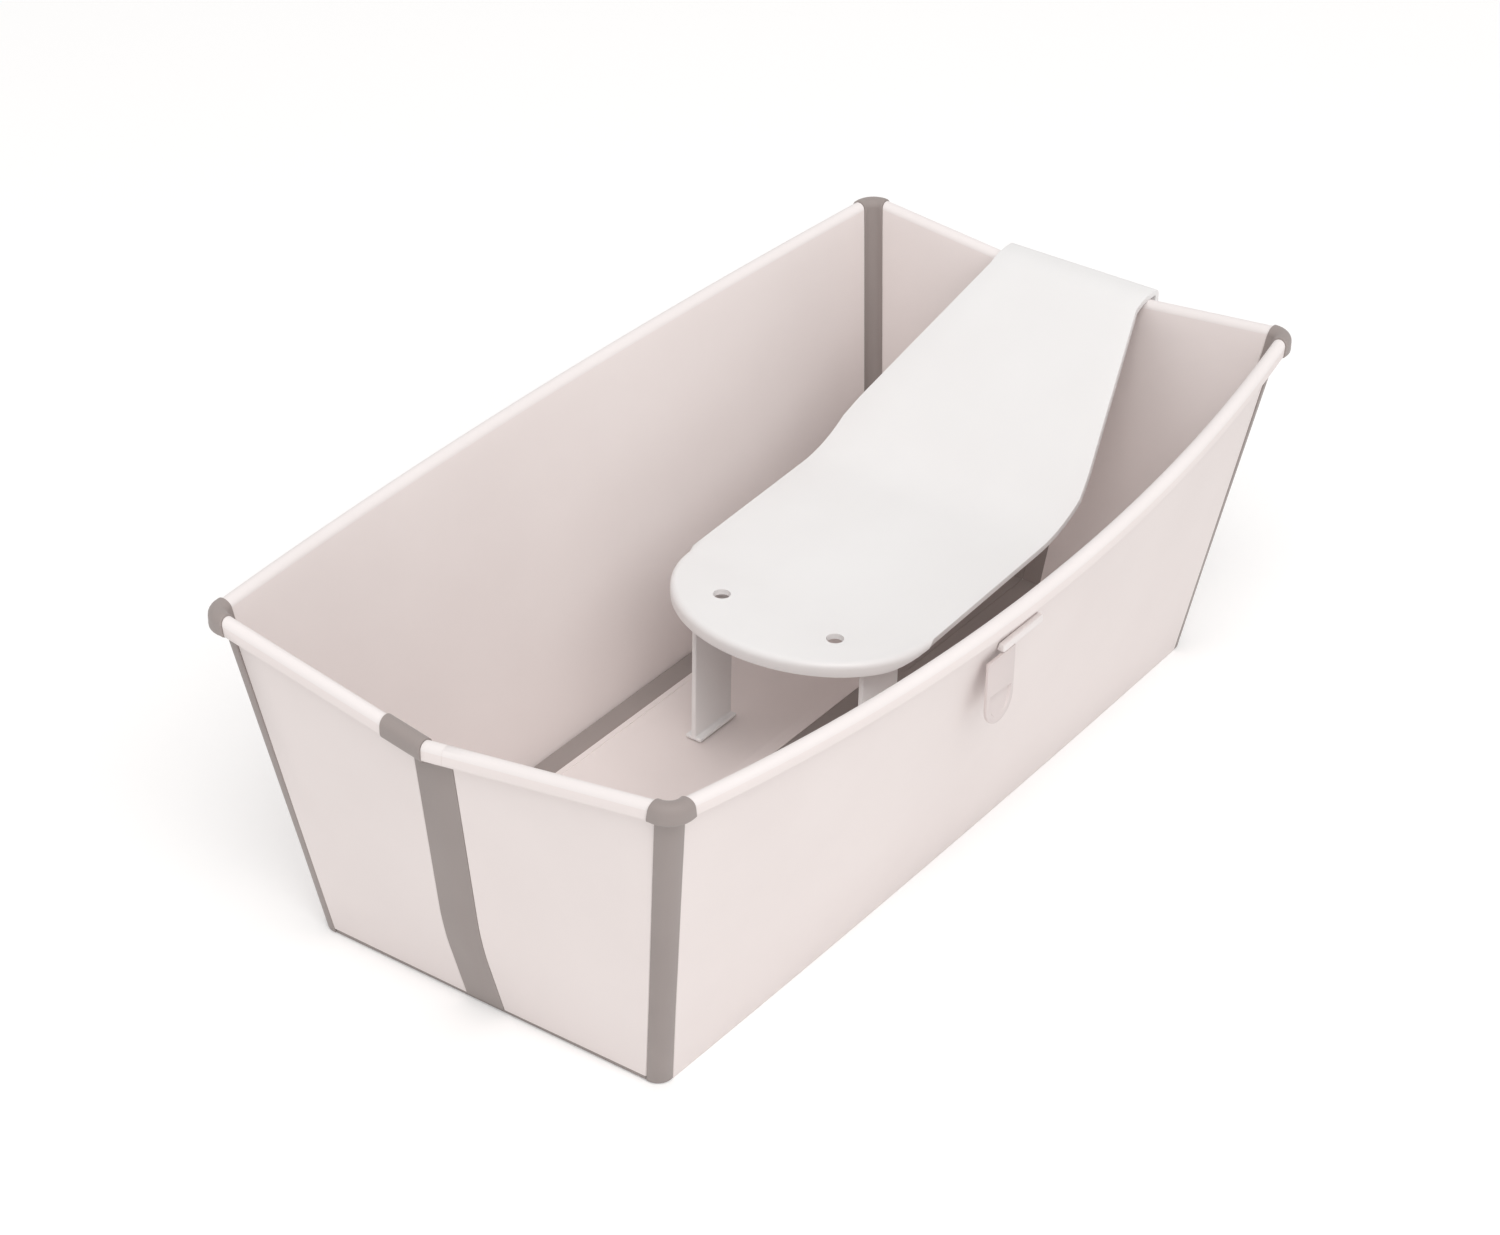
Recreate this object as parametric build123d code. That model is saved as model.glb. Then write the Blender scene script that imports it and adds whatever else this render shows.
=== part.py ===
"""A folding baby bathtub: rigid wall and floor panels joined by flexible fold strips,
with a reclining newborn support hooked over the rear rim. Millimetres, Z up.
X runs along the tub with the support at the +X end, Y across it with the strap at -Y.
The origin is on the ground, under the middle of the open tub."""

import math
import os

from build123d import *

# Overall form: half sizes of the sharp outer corners at the ground and of the inner
# rim edge at the corners, and how the rims bow outward and dip between the corners.
base_half_length = 342.0
base_half_width = 148.0
rim_half_length = 383.5
rim_half_width = 185.5
rim_height = 270.0
end_bow = 8.0
end_dip = 23.0
side_bow = 30.0
side_dip = 15.5
side_foot_bow = 3.0
end_belly = 10.0
belly_height = 74.0

# Wall and rim section.
wall = 3.0
rim_width = 10.0
rim_lip = 13.0
rim_flare = 18.0
flare_sag = 1.6
corner_round = 8.0
side_stations = 9
fan_steps = 5

# Fold strips and the caps they form over the rims.
corner_leg = 2.0
strip_half = 16.0
strip_sheet = 2.4
strip_drop = 22.0
cap_skin = 1.2
cap_inside = 25.0
cap_outside = 21.0
mid_cap_length = 34.0
soft_gap = 0.3
seat_gap = 0.15
part_gap = 0.3
open_gap = 1.75
cut_over = 9.0

# Floor.
floor_low = 2.0
floor_sheet = 3.0
hinge_strip = 15.0
gusset_offset = 24.0
gusset_gap = 0.5
gusset_low = 1.0
gusset_sheet = 3.0
end_panel_low = 4.3
strip_low = 0.5
strip_lift = 4.3
floor_strip_low = 2.3
foot_trim = 12.0

# Drain.
drain_x = -150.0
drain_y = -42.0
drain_bore = 26.0
drain_outer = 36.0
drain_flange = 46.0
drain_flange_sheet = 1.2
drain_fit = 0.25
drain_hole_fit = 0.2
plug_head = 31.0
plug_head_sheet = 2.0
plug_stem = 4.0
grip_length = 20.0
grip_sheet = 3.0
grip_height = 7.0

# Strap, its keeper on the near wall and its catch on the far wall.
latch_x = -20.0
keeper_length = 50.0
keeper_height = 6.5
keeper_drop = 39.0
keeper_proud = 6.5
keeper_round = 2.0
strap_width = 34.0
strap_sheet = 2.6
strap_offset = 26.0
strap_flush = 0.3
strap_drop = 55.0
strap_gap = 0.7
scoop_width = 22.0
scoop_height = 24.0
scoop_depth = 1.2
scoop_lift = 5.0
catch_lip = 5.0
catch_lip_sheet = 2.5

# Newborn support.
support_sheet = 4.5
hook_half_width = 66.0
seat_half_width = 107.0
hook_inset = 3.0
hook_clear = 1.2
hook_gap = 0.2
hook_leg = 17.3
hook_round = 6.0
back_top_run = 12.0
back_top_fall = 5.3
back_run = 165.5
back_fall = 99.4
bend_reach = 30.0
seat_run = 262.0
seat_fall = 8.0
seat_nose = 86.0
lip_drop = 11.0
support_hole = 13.0
hole_inset_x = 49.0
hole_inset_y = 57.0
foot_inset_x = 48.0
foot_inset_y = 33.0
foot_length = 46.0
foot_sheet = 4.0
foot_lip_gap = 0.2
foot_floor_gap = 0.3
foot_base = 14.0
foot_base_sheet = 3.0

os.makedirs("parts", exist_ok=True)

# Corner lines: the centre of the inner corner round, at the ground and at the rim crest.
corner_bottom_x = base_half_length - wall - corner_round
corner_bottom_y = base_half_width - wall - corner_round
corner_top_x = rim_half_length - corner_round
corner_top_y = rim_half_width - corner_round
rim_radius = rim_width / 2

# The support hangs on the rear rim and its bends are set out from there.
hook_share = 1 - hook_half_width / corner_top_y
hook_under_z = rim_height - end_dip * hook_share + hook_gap
hook_inner_x = rim_half_length + hook_inset
hook_outer_x = rim_half_length + end_bow + rim_width + cap_skin + hook_clear
hook_leg_low = hook_under_z - hook_leg
back_top_x = hook_inner_x - back_top_run
back_top_z = hook_under_z - back_top_fall
bend_x = back_top_x - back_run
bend_z = back_top_z - back_fall
seat_front_x = bend_x - seat_run
seat_front_z = bend_z - seat_fall
nose_x = seat_front_x + seat_nose
support_hole_x = seat_front_x + hole_inset_x
support_hole_y = seat_half_width - hole_inset_y
foot_x = seat_front_x + foot_inset_x
foot_y = seat_half_width - foot_inset_y

# The keeper sits under the long rim's middle, and the strap hangs from its front end.
keeper_low = rim_height - side_dip - keeper_drop
strap_x = latch_x - strap_offset

# The hook reaches past the rear rim cap, so all is moved to centre the overall box.
cap_bow = end_bow * (1 - seat_gap / corner_top_y)
front_reach = rim_half_length + cap_bow + rim_width + cap_skin
rear_reach = hook_outer_x + support_sheet
frame_shift = (front_reach - rear_reach) / 2


def profile_points(lean, height, low, kind, belly):
    """Points of a wall section: u outward from the corner line, v up along the wall."""

    def inner(v):
        """The inner face leans evenly, with the belly pushed out at its height."""
        bulge = belly * max(0, 1 - abs(v - belly_height) / belly_height)
        return corner_round + lean * v / height + bulge

    crest = height
    skin = cap_skin if kind == "cap" else 0
    top_in = inner(crest)
    start = low
    pts = {}
    pts["foot_in"] = (inner(start), start)
    pts["belly_in"] = (inner(belly_height), belly_height)
    pts["neck_in"] = (inner(crest - cap_inside), crest - cap_inside)
    pts["lip_in"] = (top_in - skin, crest - rim_radius)
    pts["crest"] = (top_in + rim_radius, crest + skin)
    pts["lip_out"] = (top_in + rim_width + skin, crest - rim_radius)
    pts["lip_low"] = (top_in + rim_width + skin, crest - rim_lip)
    pts["neck_out"] = (inner(crest - rim_flare) + wall + skin / 2, crest - rim_flare)
    pts["belly_out"] = (inner(belly_height) + wall, belly_height)
    pts["foot_out"] = (inner(start) + wall, start)
    return pts


def section_plane(bottom, top, outward):
    """A plane through the wall's base line that holds the outward way and the rise."""
    b, t = Vector(*bottom), Vector(*top)
    out = Vector(*outward).normalized()
    rise = t - b
    up = rise - out * rise.dot(out)
    plane = Plane(origin=b, x_dir=out, z_dir=out.cross(up.normalized()))
    return plane, rise.dot(out), up.length


def wall_section(bottom, top, outward, low, kind="wall", belly=0.0):
    """A closed section of wall, rolled rim and flare under it, as one wire."""
    plane, lean, height = section_plane(bottom, top, outward)
    stretch = height / (top[2] - bottom[2])
    p = profile_points(lean, height, low * stretch, kind, belly)
    sag_u = (p["lip_low"][0] + p["neck_out"][0]) / 2 - flare_sag
    sag_v = (p["lip_low"][1] + p["neck_out"][1]) / 2 + flare_sag
    edges = [
        Edge.make_line(p["foot_in"], p["belly_in"]),
        Edge.make_line(p["belly_in"], p["neck_in"]),
        Edge.make_line(p["neck_in"], p["lip_in"]),
        Edge.make_three_point_arc(p["lip_in"], p["crest"], p["lip_out"]),
        Edge.make_line(p["lip_out"], p["lip_low"]),
        Edge.make_three_point_arc(p["lip_low"], (sag_u, sag_v), p["neck_out"]),
        Edge.make_line(p["neck_out"], p["belly_out"]),
        Edge.make_line(p["belly_out"], p["foot_out"]),
        Edge.make_line(p["foot_out"], p["foot_in"]),
    ]
    return placed(edges, plane)


def rim_section(bottom, top, outward, skin, belly):
    """The rolled rim alone, down to the neck, grown by a skin where it is a cap."""
    plane, lean, height = section_plane(bottom, top, outward)
    p = profile_points(lean, height, 0, "wall", belly)
    low_v = p["crest"][1] - cap_outside
    in_u = p["lip_in"][0]
    out_u = p["lip_low"][0]
    edges = [
        Edge.make_line((in_u - skin, low_v), (in_u - skin, p["lip_in"][1])),
        Edge.make_three_point_arc(
            (in_u - skin, p["lip_in"][1]),
            (p["crest"][0], p["crest"][1] + skin),
            (out_u + skin, p["lip_out"][1]),
        ),
        Edge.make_line((out_u + skin, p["lip_out"][1]), (out_u + skin, p["lip_low"][1])),
        Edge.make_line((out_u + skin, p["lip_low"][1]), (in_u + wall + skin, low_v)),
        Edge.make_line((in_u + wall + skin, low_v), (in_u - skin, low_v)),
    ]
    return placed(edges, plane)


def sheet_section(bottom, top, outward, low, high_drop, sheet, belly=0.0):
    """A thin strip that lines up with the outside of the wall, without a rim."""
    plane, lean, height = section_plane(bottom, top, outward)
    p = profile_points(lean, height, low, "wall", belly)
    back = wall - sheet
    high_v = p["crest"][1] - high_drop
    share = (high_v - belly_height) / (p["neck_in"][1] - belly_height)
    high_u = p["belly_in"][0] + (p["neck_in"][0] - p["belly_in"][0]) * share
    edges = [
        Edge.make_line(
            (p["foot_in"][0] + back, p["foot_in"][1]),
            (p["belly_in"][0] + back, belly_height),
        ),
        Edge.make_line((p["belly_in"][0] + back, belly_height), (high_u + back, high_v)),
        Edge.make_line((high_u + back, high_v), (high_u + wall, high_v)),
        Edge.make_line((high_u + wall, high_v), (p["belly_out"][0], belly_height)),
        Edge.make_line((p["belly_out"][0], belly_height), p["foot_out"]),
        Edge.make_line(p["foot_out"], (p["foot_in"][0] + back, p["foot_in"][1])),
    ]
    return placed(edges, plane)


def placed(edges, plane):
    """One closed wire from flat edges, moved onto its plane."""
    return plane.location * Wire(edges)


def skin_through(wires):
    """A solid with straight rulings from each wire to the next."""
    return Solid.make_loft(wires, ruled=True)


def end_line(y_bottom, y_top, sign_x, sign_y):
    """Base points of an end wall at given distances from the middle."""
    share_b = 1 - y_bottom / corner_bottom_y
    share_t = 1 - y_top / corner_top_y
    bottom = (sign_x * corner_bottom_x, sign_y * y_bottom, 0)
    top = (
        sign_x * (corner_top_x + end_bow * share_t),
        sign_y * y_top,
        rim_height - end_dip * share_t,
    )
    return bottom, top, end_belly * share_b


def side_line(share, sign_y):
    """Base points of a long wall; share runs from -1 at the front to 1 at the rear."""
    swell = 1 - share * share
    bottom = (
        share * (corner_bottom_x - corner_leg),
        sign_y * (corner_bottom_y + side_foot_bow * swell),
        0,
    )
    top = (
        share * (corner_top_x - corner_leg),
        sign_y * (corner_top_y + side_bow * swell),
        rim_height - side_dip * swell,
    )
    return bottom, top


def side_panel(sign_y):
    """A long wall with its rolled rim, bowed outward and dipping to its middle."""
    wires = []
    for i in range(side_stations):
        share = 2 * i / (side_stations - 1) - 1
        bottom, top = side_line(share, sign_y)
        wires.append(wall_section(bottom, top, (0, sign_y, 0), -foot_trim))
    below = block(
        -base_half_length,
        base_half_length,
        -base_half_width - foot_trim,
        base_half_width + foot_trim,
        -2 * foot_trim,
        0,
    )
    return skin_through(wires).cut(below)


def end_panel(sign_x, sign_y, stub_end=None):
    """Half of an end wall; the bare half carries its rim on to stub_end."""
    b0, t0, belly0 = end_line(
        corner_bottom_y - corner_leg, corner_top_y - corner_leg, sign_x, sign_y
    )
    inner_y = strip_half + part_gap
    b1, t1, belly1 = end_line(inner_y, inner_y, sign_x, sign_y)
    out = (sign_x, 0, 0)
    body = skin_through(
        [
            wall_section(b0, t0, out, end_panel_low, "wall", belly0),
            wall_section(b1, t1, out, end_panel_low, "wall", belly1),
        ]
    )
    if stub_end is not None:
        b2, t2, belly2 = end_line(stub_end, stub_end, sign_x, sign_y)
        stub = skin_through(
            [
                rim_section(b1, t1, out, 0, belly1),
                rim_section(b2, t2, out, 0, belly2),
            ]
        )
        body = body.fuse(stub)
    return body


def corner_strip(sign_x, sign_y):
    """A fold strip round a corner, which also caps the two rim ends."""
    wires = []
    leg = corner_leg - soft_gap
    b, t, belly = end_line(corner_bottom_y - leg, corner_top_y - leg, sign_x, sign_y)
    wires.append(wall_section(b, t, (sign_x, 0, 0), strip_low, "cap", belly))
    corner_b = (sign_x * corner_bottom_x, sign_y * corner_bottom_y, 0)
    corner_t = (sign_x * corner_top_x, sign_y * corner_top_y, rim_height)
    for i in range(fan_steps + 1):
        a = math.pi / 2 * i / fan_steps
        out = (sign_x * math.cos(a), sign_y * math.sin(a), 0)
        wires.append(wall_section(corner_b, corner_t, out, strip_low, "cap"))
    b, t = side_line(1, 1)
    reach = leg / corner_leg
    b = (
        sign_x * (corner_bottom_x - leg),
        sign_y * (corner_bottom_y + (b[1] - corner_bottom_y) * reach),
        0,
    )
    t = (sign_x * (corner_top_x - leg), sign_y * corner_top_y, rim_height)
    wires.append(wall_section(b, t, (0, sign_y, 0), strip_low, "cap"))
    return skin_through(wires)


def mid_strip(sign_x, y_from, y_to):
    """A fold strip at the middle of an end wall, between two distances across."""
    marks = [y_from, y_to]
    if y_from * y_to < 0:
        marks = [y_from, 0, y_to]
    wires = []
    for y in marks:
        side = 1 if y >= 0 else -1
        b, t, belly = end_line(abs(y), abs(y), sign_x, side)
        wires.append(
            sheet_section(
                b, t, (sign_x, 0, 0), strip_lift, strip_drop, strip_sheet, belly
            )
        )
    return skin_through(wires)


def mid_cap(sign_x, sign_y, gap):
    """The sleeve over the end of one half's rim, solid where the rim has stopped."""
    out = (sign_x, 0, 0)
    b0, t0, belly0 = end_line(gap, gap, sign_x, sign_y)
    b1, t1, belly1 = end_line(mid_cap_length, mid_cap_length, sign_x, sign_y)
    sleeve = skin_through(
        [
            rim_section(b0, t0, out, cap_skin, belly0),
            rim_section(b1, t1, out, cap_skin, belly1),
        ]
    )
    bore_from = strip_half
    bore_to = mid_cap_length + part_gap
    b2, t2, belly2 = end_line(bore_from, bore_from, sign_x, sign_y)
    b3, t3, belly3 = end_line(bore_to, bore_to, sign_x, sign_y)
    bore = skin_through(
        [
            wall_section(b2, t2, out, rim_flare, "wall", belly2),
            wall_section(b3, t3, out, rim_flare, "wall", belly3),
        ]
    )
    return sleeve.cut(bore)


def flat_plate(points, low, thick):
    """A level plate from its outline."""
    wire = Wire.make_polygon([Vector(x, y, low) for x, y in points], close=True)
    return Solid.extrude(Face(wire), Vector(0, 0, thick))


floor_inner_y = base_half_width - wall - hinge_strip
wall_inner_y = base_half_width - wall
slope_x = base_half_length - base_half_width - gusset_offset + wall


def slant(y):
    """How far along X the floor reaches at a distance y from the middle."""
    return y + slope_x


def floor_panel(sign_y):
    """Half of the floor, cut off at 45 degrees at both ends."""
    y0, y1 = strip_half, floor_inner_y
    outline = [
        (-slant(y0), sign_y * y0),
        (slant(y0), sign_y * y0),
        (slant(y1), sign_y * y1),
        (-slant(y1), sign_y * y1),
    ]
    return flat_plate(outline, floor_low, floor_sheet)


def floor_strip(sign_y):
    """Half of the fold strip along the floor's middle."""
    y0, y1 = seat_gap, strip_half - seat_gap
    outline = [
        (-slant(y0), sign_y * y0),
        (slant(y0), sign_y * y0),
        (slant(y1), sign_y * y1),
        (-slant(y1), sign_y * y1),
    ]
    return flat_plate(outline, floor_strip_low, strip_sheet)


def side_strip(sign_y):
    """The fold strip between a floor half and its long wall."""
    y0, y1 = floor_inner_y + soft_gap, wall_inner_y - seat_gap
    outline = [
        (-slant(y0), sign_y * y0),
        (slant(y0), sign_y * y0),
        (slant(y1), sign_y * y1),
        (-slant(y1), sign_y * y1),
    ]
    return flat_plate(outline, floor_strip_low, strip_sheet)


def gusset(sign_x, sign_y):
    """The flexible corner sheet between the floor's slanted end and an end wall half."""
    outer_x = base_half_length - gusset_gap
    inner_x = base_half_length - wall - gusset_gap
    leg_y = corner_bottom_y - corner_leg - gusset_gap
    turn_y = wall_inner_y - corner_round - gusset_gap
    side_y = wall_inner_y - gusset_gap
    y0 = seat_gap
    outline = [
        (slant(y0) + gusset_gap, y0),
        (outer_x, y0),
        (outer_x, leg_y),
        (inner_x, leg_y),
        (inner_x, turn_y),
        (inner_x - corner_round, side_y),
        (slant(side_y) + gusset_gap, side_y),
    ]
    return flat_plate([(sign_x * x, sign_y * y) for x, y in outline], gusset_low, gusset_sheet)


def post(x, y, low, high, across):
    """An upright round."""
    turned = Solid.make_cylinder(across / 2, high - low)
    return turned.moved(Location((x, y, low)))


def block(x0, x1, y0, y1, z0, z1):
    """A block between limits."""
    box = Solid.make_box(x1 - x0, y1 - y0, z1 - z0)
    return box.moved(Location((x0, y0, z0)))


floor_top = floor_low + floor_sheet


def drain_seat():
    """The ring in the floor that the plug sits in."""
    barrel = post(drain_x, drain_y, floor_low, floor_top, drain_outer)
    flange = post(
        drain_x, drain_y, floor_top, floor_top + drain_flange_sheet, drain_flange
    )
    bore = post(drain_x, drain_y, 0, floor_top + cut_over, drain_bore)
    return barrel.fuse(flange).cut(bore)


def drain_plug():
    """The stopper, with a wide head and an upright finger grip."""
    head_low = floor_top + drain_flange_sheet + drain_fit
    stem = post(
        drain_x, drain_y, head_low - plug_stem, head_low, drain_bore - 2 * drain_fit
    )
    head = post(drain_x, drain_y, head_low, head_low + plug_head_sheet, plug_head)
    top = head_low + plug_head_sheet
    grip = block(
        drain_x - grip_length / 2,
        drain_x + grip_length / 2,
        drain_y - grip_sheet / 2,
        drain_y + grip_sheet / 2,
        top,
        top + grip_height,
    )
    return stem.fuse(head).fuse(grip)


def wall_face(z):
    """How far out the long wall's outer face is at the strap, at a height."""
    share = latch_x / (corner_top_x - corner_leg)
    bottom, top = side_line(share, 1)
    return bottom[1] + (top[1] - bottom[1]) * z / top[2] + corner_round + wall


def ledge(sign_y):
    """A rounded ledge that stands out from a long wall under its rim."""
    keeper_reach = wall_face(keeper_low) + keeper_proud
    root_y = wall_face(keeper_low) + seat_gap
    tip = wall_face(keeper_low + keeper_height) + seat_gap
    half = keeper_length / 2
    outline = [
        (root_y, keeper_low),
        (keeper_reach, keeper_low),
        (keeper_reach, keeper_low + keeper_height - keeper_round),
        (keeper_reach - keeper_round, keeper_low + keeper_height),
        (tip, keeper_low + keeper_height),
    ]
    wire = Wire.make_polygon(
        [Vector(latch_x - half, sign_y * y, z) for y, z in outline], close=True
    )
    return Solid.extrude(Face(wire), Vector(keeper_length, 0, 0))


def strap_catch():
    """The ledge on the far wall, with a lip turned down that the strap's end grips."""
    body = ledge(1)
    keeper_reach = wall_face(keeper_low) + keeper_proud
    half = keeper_length / 2
    lip = block(
        latch_x - half,
        latch_x + half,
        keeper_reach - catch_lip_sheet,
        keeper_reach,
        keeper_low - catch_lip,
        keeper_low,
    )
    return body.fuse(lip)


def closing_strap():
    """The strap, which hangs plumb from the keeper and has a finger scoop at its end."""
    y_out = wall_face(keeper_low) + keeper_proud - strap_flush
    top = keeper_low - strap_gap
    low = keeper_low - strap_drop
    half = strap_width / 2
    tab_top = low + half
    plate = block(
        strap_x - half, strap_x + half, -y_out, strap_sheet - y_out, tab_top, top
    )
    turned = Solid.make_cylinder(half, strap_sheet)
    turned = turned.moved(Location((strap_x, strap_sheet - y_out, tab_top), (90, 0, 0)))
    body = plate.fuse(turned)
    scoop_low = low + scoop_lift
    scoop_half = scoop_width / 2
    dish = block(
        strap_x - scoop_half,
        strap_x + scoop_half,
        -y_out,
        scoop_depth - y_out,
        scoop_low + scoop_half,
        scoop_low + scoop_height,
    )
    dish_round = Solid.make_cylinder(scoop_half, scoop_depth)
    dish_round = dish_round.moved(
        Location((strap_x, scoop_depth - y_out, scoop_low + scoop_half), (90, 0, 0))
    )
    return body.cut(dish.fuse(dish_round))


def offset_path(points, shift):
    """The points of an open path, moved sideways by a distance."""
    moved = []
    for i, (x, z) in enumerate(points):
        ax, az = points[max(i - 1, 0)]
        bx, bz = points[min(i + 1, len(points) - 1)]
        dx, dz = bx - ax, bz - az
        length = math.hypot(dx, dz)
        moved.append((x - dz / length * shift, z + dx / length * shift))
    return moved


def arc_points(cx, cz, radius, from_deg, to_deg, count):
    """Points along an arc in the XZ plane."""
    out = []
    for i in range(count + 1):
        a = math.radians(from_deg + (to_deg - from_deg) * i / count)
        out.append((cx + radius * math.cos(a), cz + radius * math.sin(a)))
    return out


arc_count = 5
bend_count = 6


def support_path():
    """The upper face of the support from the hook's end round to the front lip."""
    hook_top = hook_under_z + support_sheet
    outer = hook_outer_x + support_sheet
    path = [(outer, hook_leg_low)]
    path += arc_points(
        outer - hook_round, hook_top - hook_round, hook_round, 0, 90, arc_count
    )
    path += [(hook_inner_x, hook_top)]
    slope = math.atan2(back_top_z - bend_z, back_top_x - bend_x)
    path += [(back_top_x, back_top_z + support_sheet)]
    start = (
        bend_x + bend_reach * math.cos(slope),
        bend_z + bend_reach * math.sin(slope),
    )
    seat_slope = math.atan2(bend_z - seat_front_z, bend_x - nose_x)
    end = (
        bend_x - bend_reach * math.cos(seat_slope),
        bend_z - bend_reach * math.sin(seat_slope),
    )
    for i in range(bend_count + 1):
        s = i / bend_count
        x = start[0] * (1 - s) ** 2 + 2 * bend_x * s * (1 - s) + end[0] * s * s
        z = start[1] * (1 - s) ** 2 + 2 * bend_z * s * (1 - s) + end[1] * s * s
        path.append((x, z))
    path += [(nose_x, seat_front_z), (seat_front_x - cut_over, seat_front_z)]
    return path


def seat_half_outline(inset):
    """The nose of the seat seen from above, from its one straight side to the other."""
    half = seat_half_width - inset
    return Edge.make_ellipse(
        seat_nose - inset,
        half,
        Plane((nose_x, 0, 0)),
        90,
        270,
        AngularDirection.COUNTER_CLOCKWISE,
    )


def support_outline():
    """The support seen from above, to trim the bent sheet."""
    outer = hook_outer_x + support_sheet + hook_round
    shoulder_x = bend_x + bend_reach
    edges = [
        Edge.make_line((outer, -hook_half_width), (outer, hook_half_width)),
        Edge.make_line((outer, hook_half_width), (back_top_x, hook_half_width)),
        Edge.make_line((back_top_x, hook_half_width), (shoulder_x, seat_half_width)),
        Edge.make_line((shoulder_x, seat_half_width), (nose_x, seat_half_width)),
        seat_half_outline(0),
        Edge.make_line((nose_x, -seat_half_width), (shoulder_x, -seat_half_width)),
        Edge.make_line((shoulder_x, -seat_half_width), (back_top_x, -hook_half_width)),
        Edge.make_line((back_top_x, -hook_half_width), (outer, -hook_half_width)),
    ]
    return Wire(edges)


def seat_lip():
    """The lip that turns down round the nose of the seat."""
    height = lip_drop - support_sheet / 2
    lip = None
    for inset in (0, support_sheet):
        half = seat_half_width - inset
        chord = Edge.make_line((nose_x, -half), (nose_x, half))
        prism = Solid.extrude(
            Face(Wire([seat_half_outline(inset), chord])), Vector(0, 0, height)
        )
        lip = prism if lip is None else lip.cut(prism)
    return lip.moved(Location((0, 0, seat_front_z - lip_drop)))


def support_shell():
    """The reclining support: hook, back and seat bent from one sheet, with its lip."""
    upper = support_path()
    lower = offset_path(upper, support_sheet)
    ring = upper + lower[::-1]
    start = -seat_half_width - cut_over
    wire = Wire.make_polygon([Vector(x, start, z) for x, z in ring], close=True)
    bent = Solid.extrude(Face(wire), Vector(0, -2 * start, 0))
    trim = Solid.extrude(Face(support_outline()), Vector(0, 0, 2 * rim_height))
    body = bent.intersect(trim).solids()[0].fuse(seat_lip())
    for sign in (-1, 1):
        hole = post(
            support_hole_x,
            sign * support_hole_y,
            seat_front_z - lip_drop,
            seat_front_z + lip_drop,
            support_hole,
        )
        body = body.cut(hole)
    return body


def support_foot(sign_y):
    """A leg plate that stands on the floor under the seat's front."""
    top = seat_front_z - support_sheet - foot_lip_gap
    low = floor_top + foot_floor_gap
    y = sign_y * foot_y
    x0, x1 = foot_x, foot_x + foot_length
    leg = block(x0, x1, y - foot_sheet / 2, y + foot_sheet / 2, low, top)
    base = block(x0, x1, y - foot_base / 2, y + foot_base / 2, low, low + foot_base_sheet)
    return leg.fuse(base)


nodes = {
    "side_wall_far": side_panel(1),
    "side_wall_near": side_panel(-1),
    "end_panel_front_far": end_panel(-1, 1),
    "end_panel_front_near": end_panel(-1, -1, seat_gap),
    "end_panel_rear_far": end_panel(1, 1),
    "end_panel_rear_near": end_panel(1, -1, open_gap),
    "corner_strip_front_far": corner_strip(-1, 1),
    "corner_strip_front_near": corner_strip(-1, -1),
    "corner_strip_rear_far": corner_strip(1, 1),
    "corner_strip_rear_near": corner_strip(1, -1),
    "end_strip_front": mid_strip(-1, -strip_half + seat_gap, strip_half - seat_gap),
    "end_strip_rear_far": mid_strip(1, open_gap, strip_half - seat_gap),
    "end_strip_rear_near": mid_strip(1, -strip_half + seat_gap, -open_gap),
    "rim_cap_front": mid_cap(-1, 1, seat_gap),
    "rim_cap_rear": mid_cap(1, 1, open_gap),
    "floor_panel_far": floor_panel(1),
    "floor_panel_near": floor_panel(-1).cut(
        post(drain_x, drain_y, 0, cut_over, drain_outer + 2 * drain_hole_fit)
    ),
    "floor_strip_far": floor_strip(1),
    "floor_strip_near": floor_strip(-1),
    "side_strip_far": side_strip(1),
    "side_strip_near": side_strip(-1),
    "gusset_front_far": gusset(-1, 1),
    "gusset_front_near": gusset(-1, -1),
    "gusset_rear_far": gusset(1, 1),
    "gusset_rear_near": gusset(1, -1),
    "drain_seat": drain_seat(),
    "drain_plug": drain_plug(),
    "strap_keeper": ledge(-1),
    "strap_catch": strap_catch(),
    "closing_strap": closing_strap(),
    "support_shell": support_shell(),
    "support_foot_far": support_foot(1),
    "support_foot_near": support_foot(-1),
}

for name, shape in nodes.items():
    solid = shape.solids()[0] if len(shape.solids()) == 1 else shape
    solid = solid.moved(Location((frame_shift, 0, 0)))
    export_step(solid, "parts/" + name + ".step")
    box = solid.bounding_box()
    print(name, len(shape.solids()), round(solid.volume), box.min, box.max)
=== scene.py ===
"""A folding baby bathtub with its newborn support.

The sizes are in metres and say the same as the part's own. Each operator makes one
group of pieces, and main calls them in order.
"""

import math

import bmesh
import bpy
from mathutils import Matrix, Vector


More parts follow.
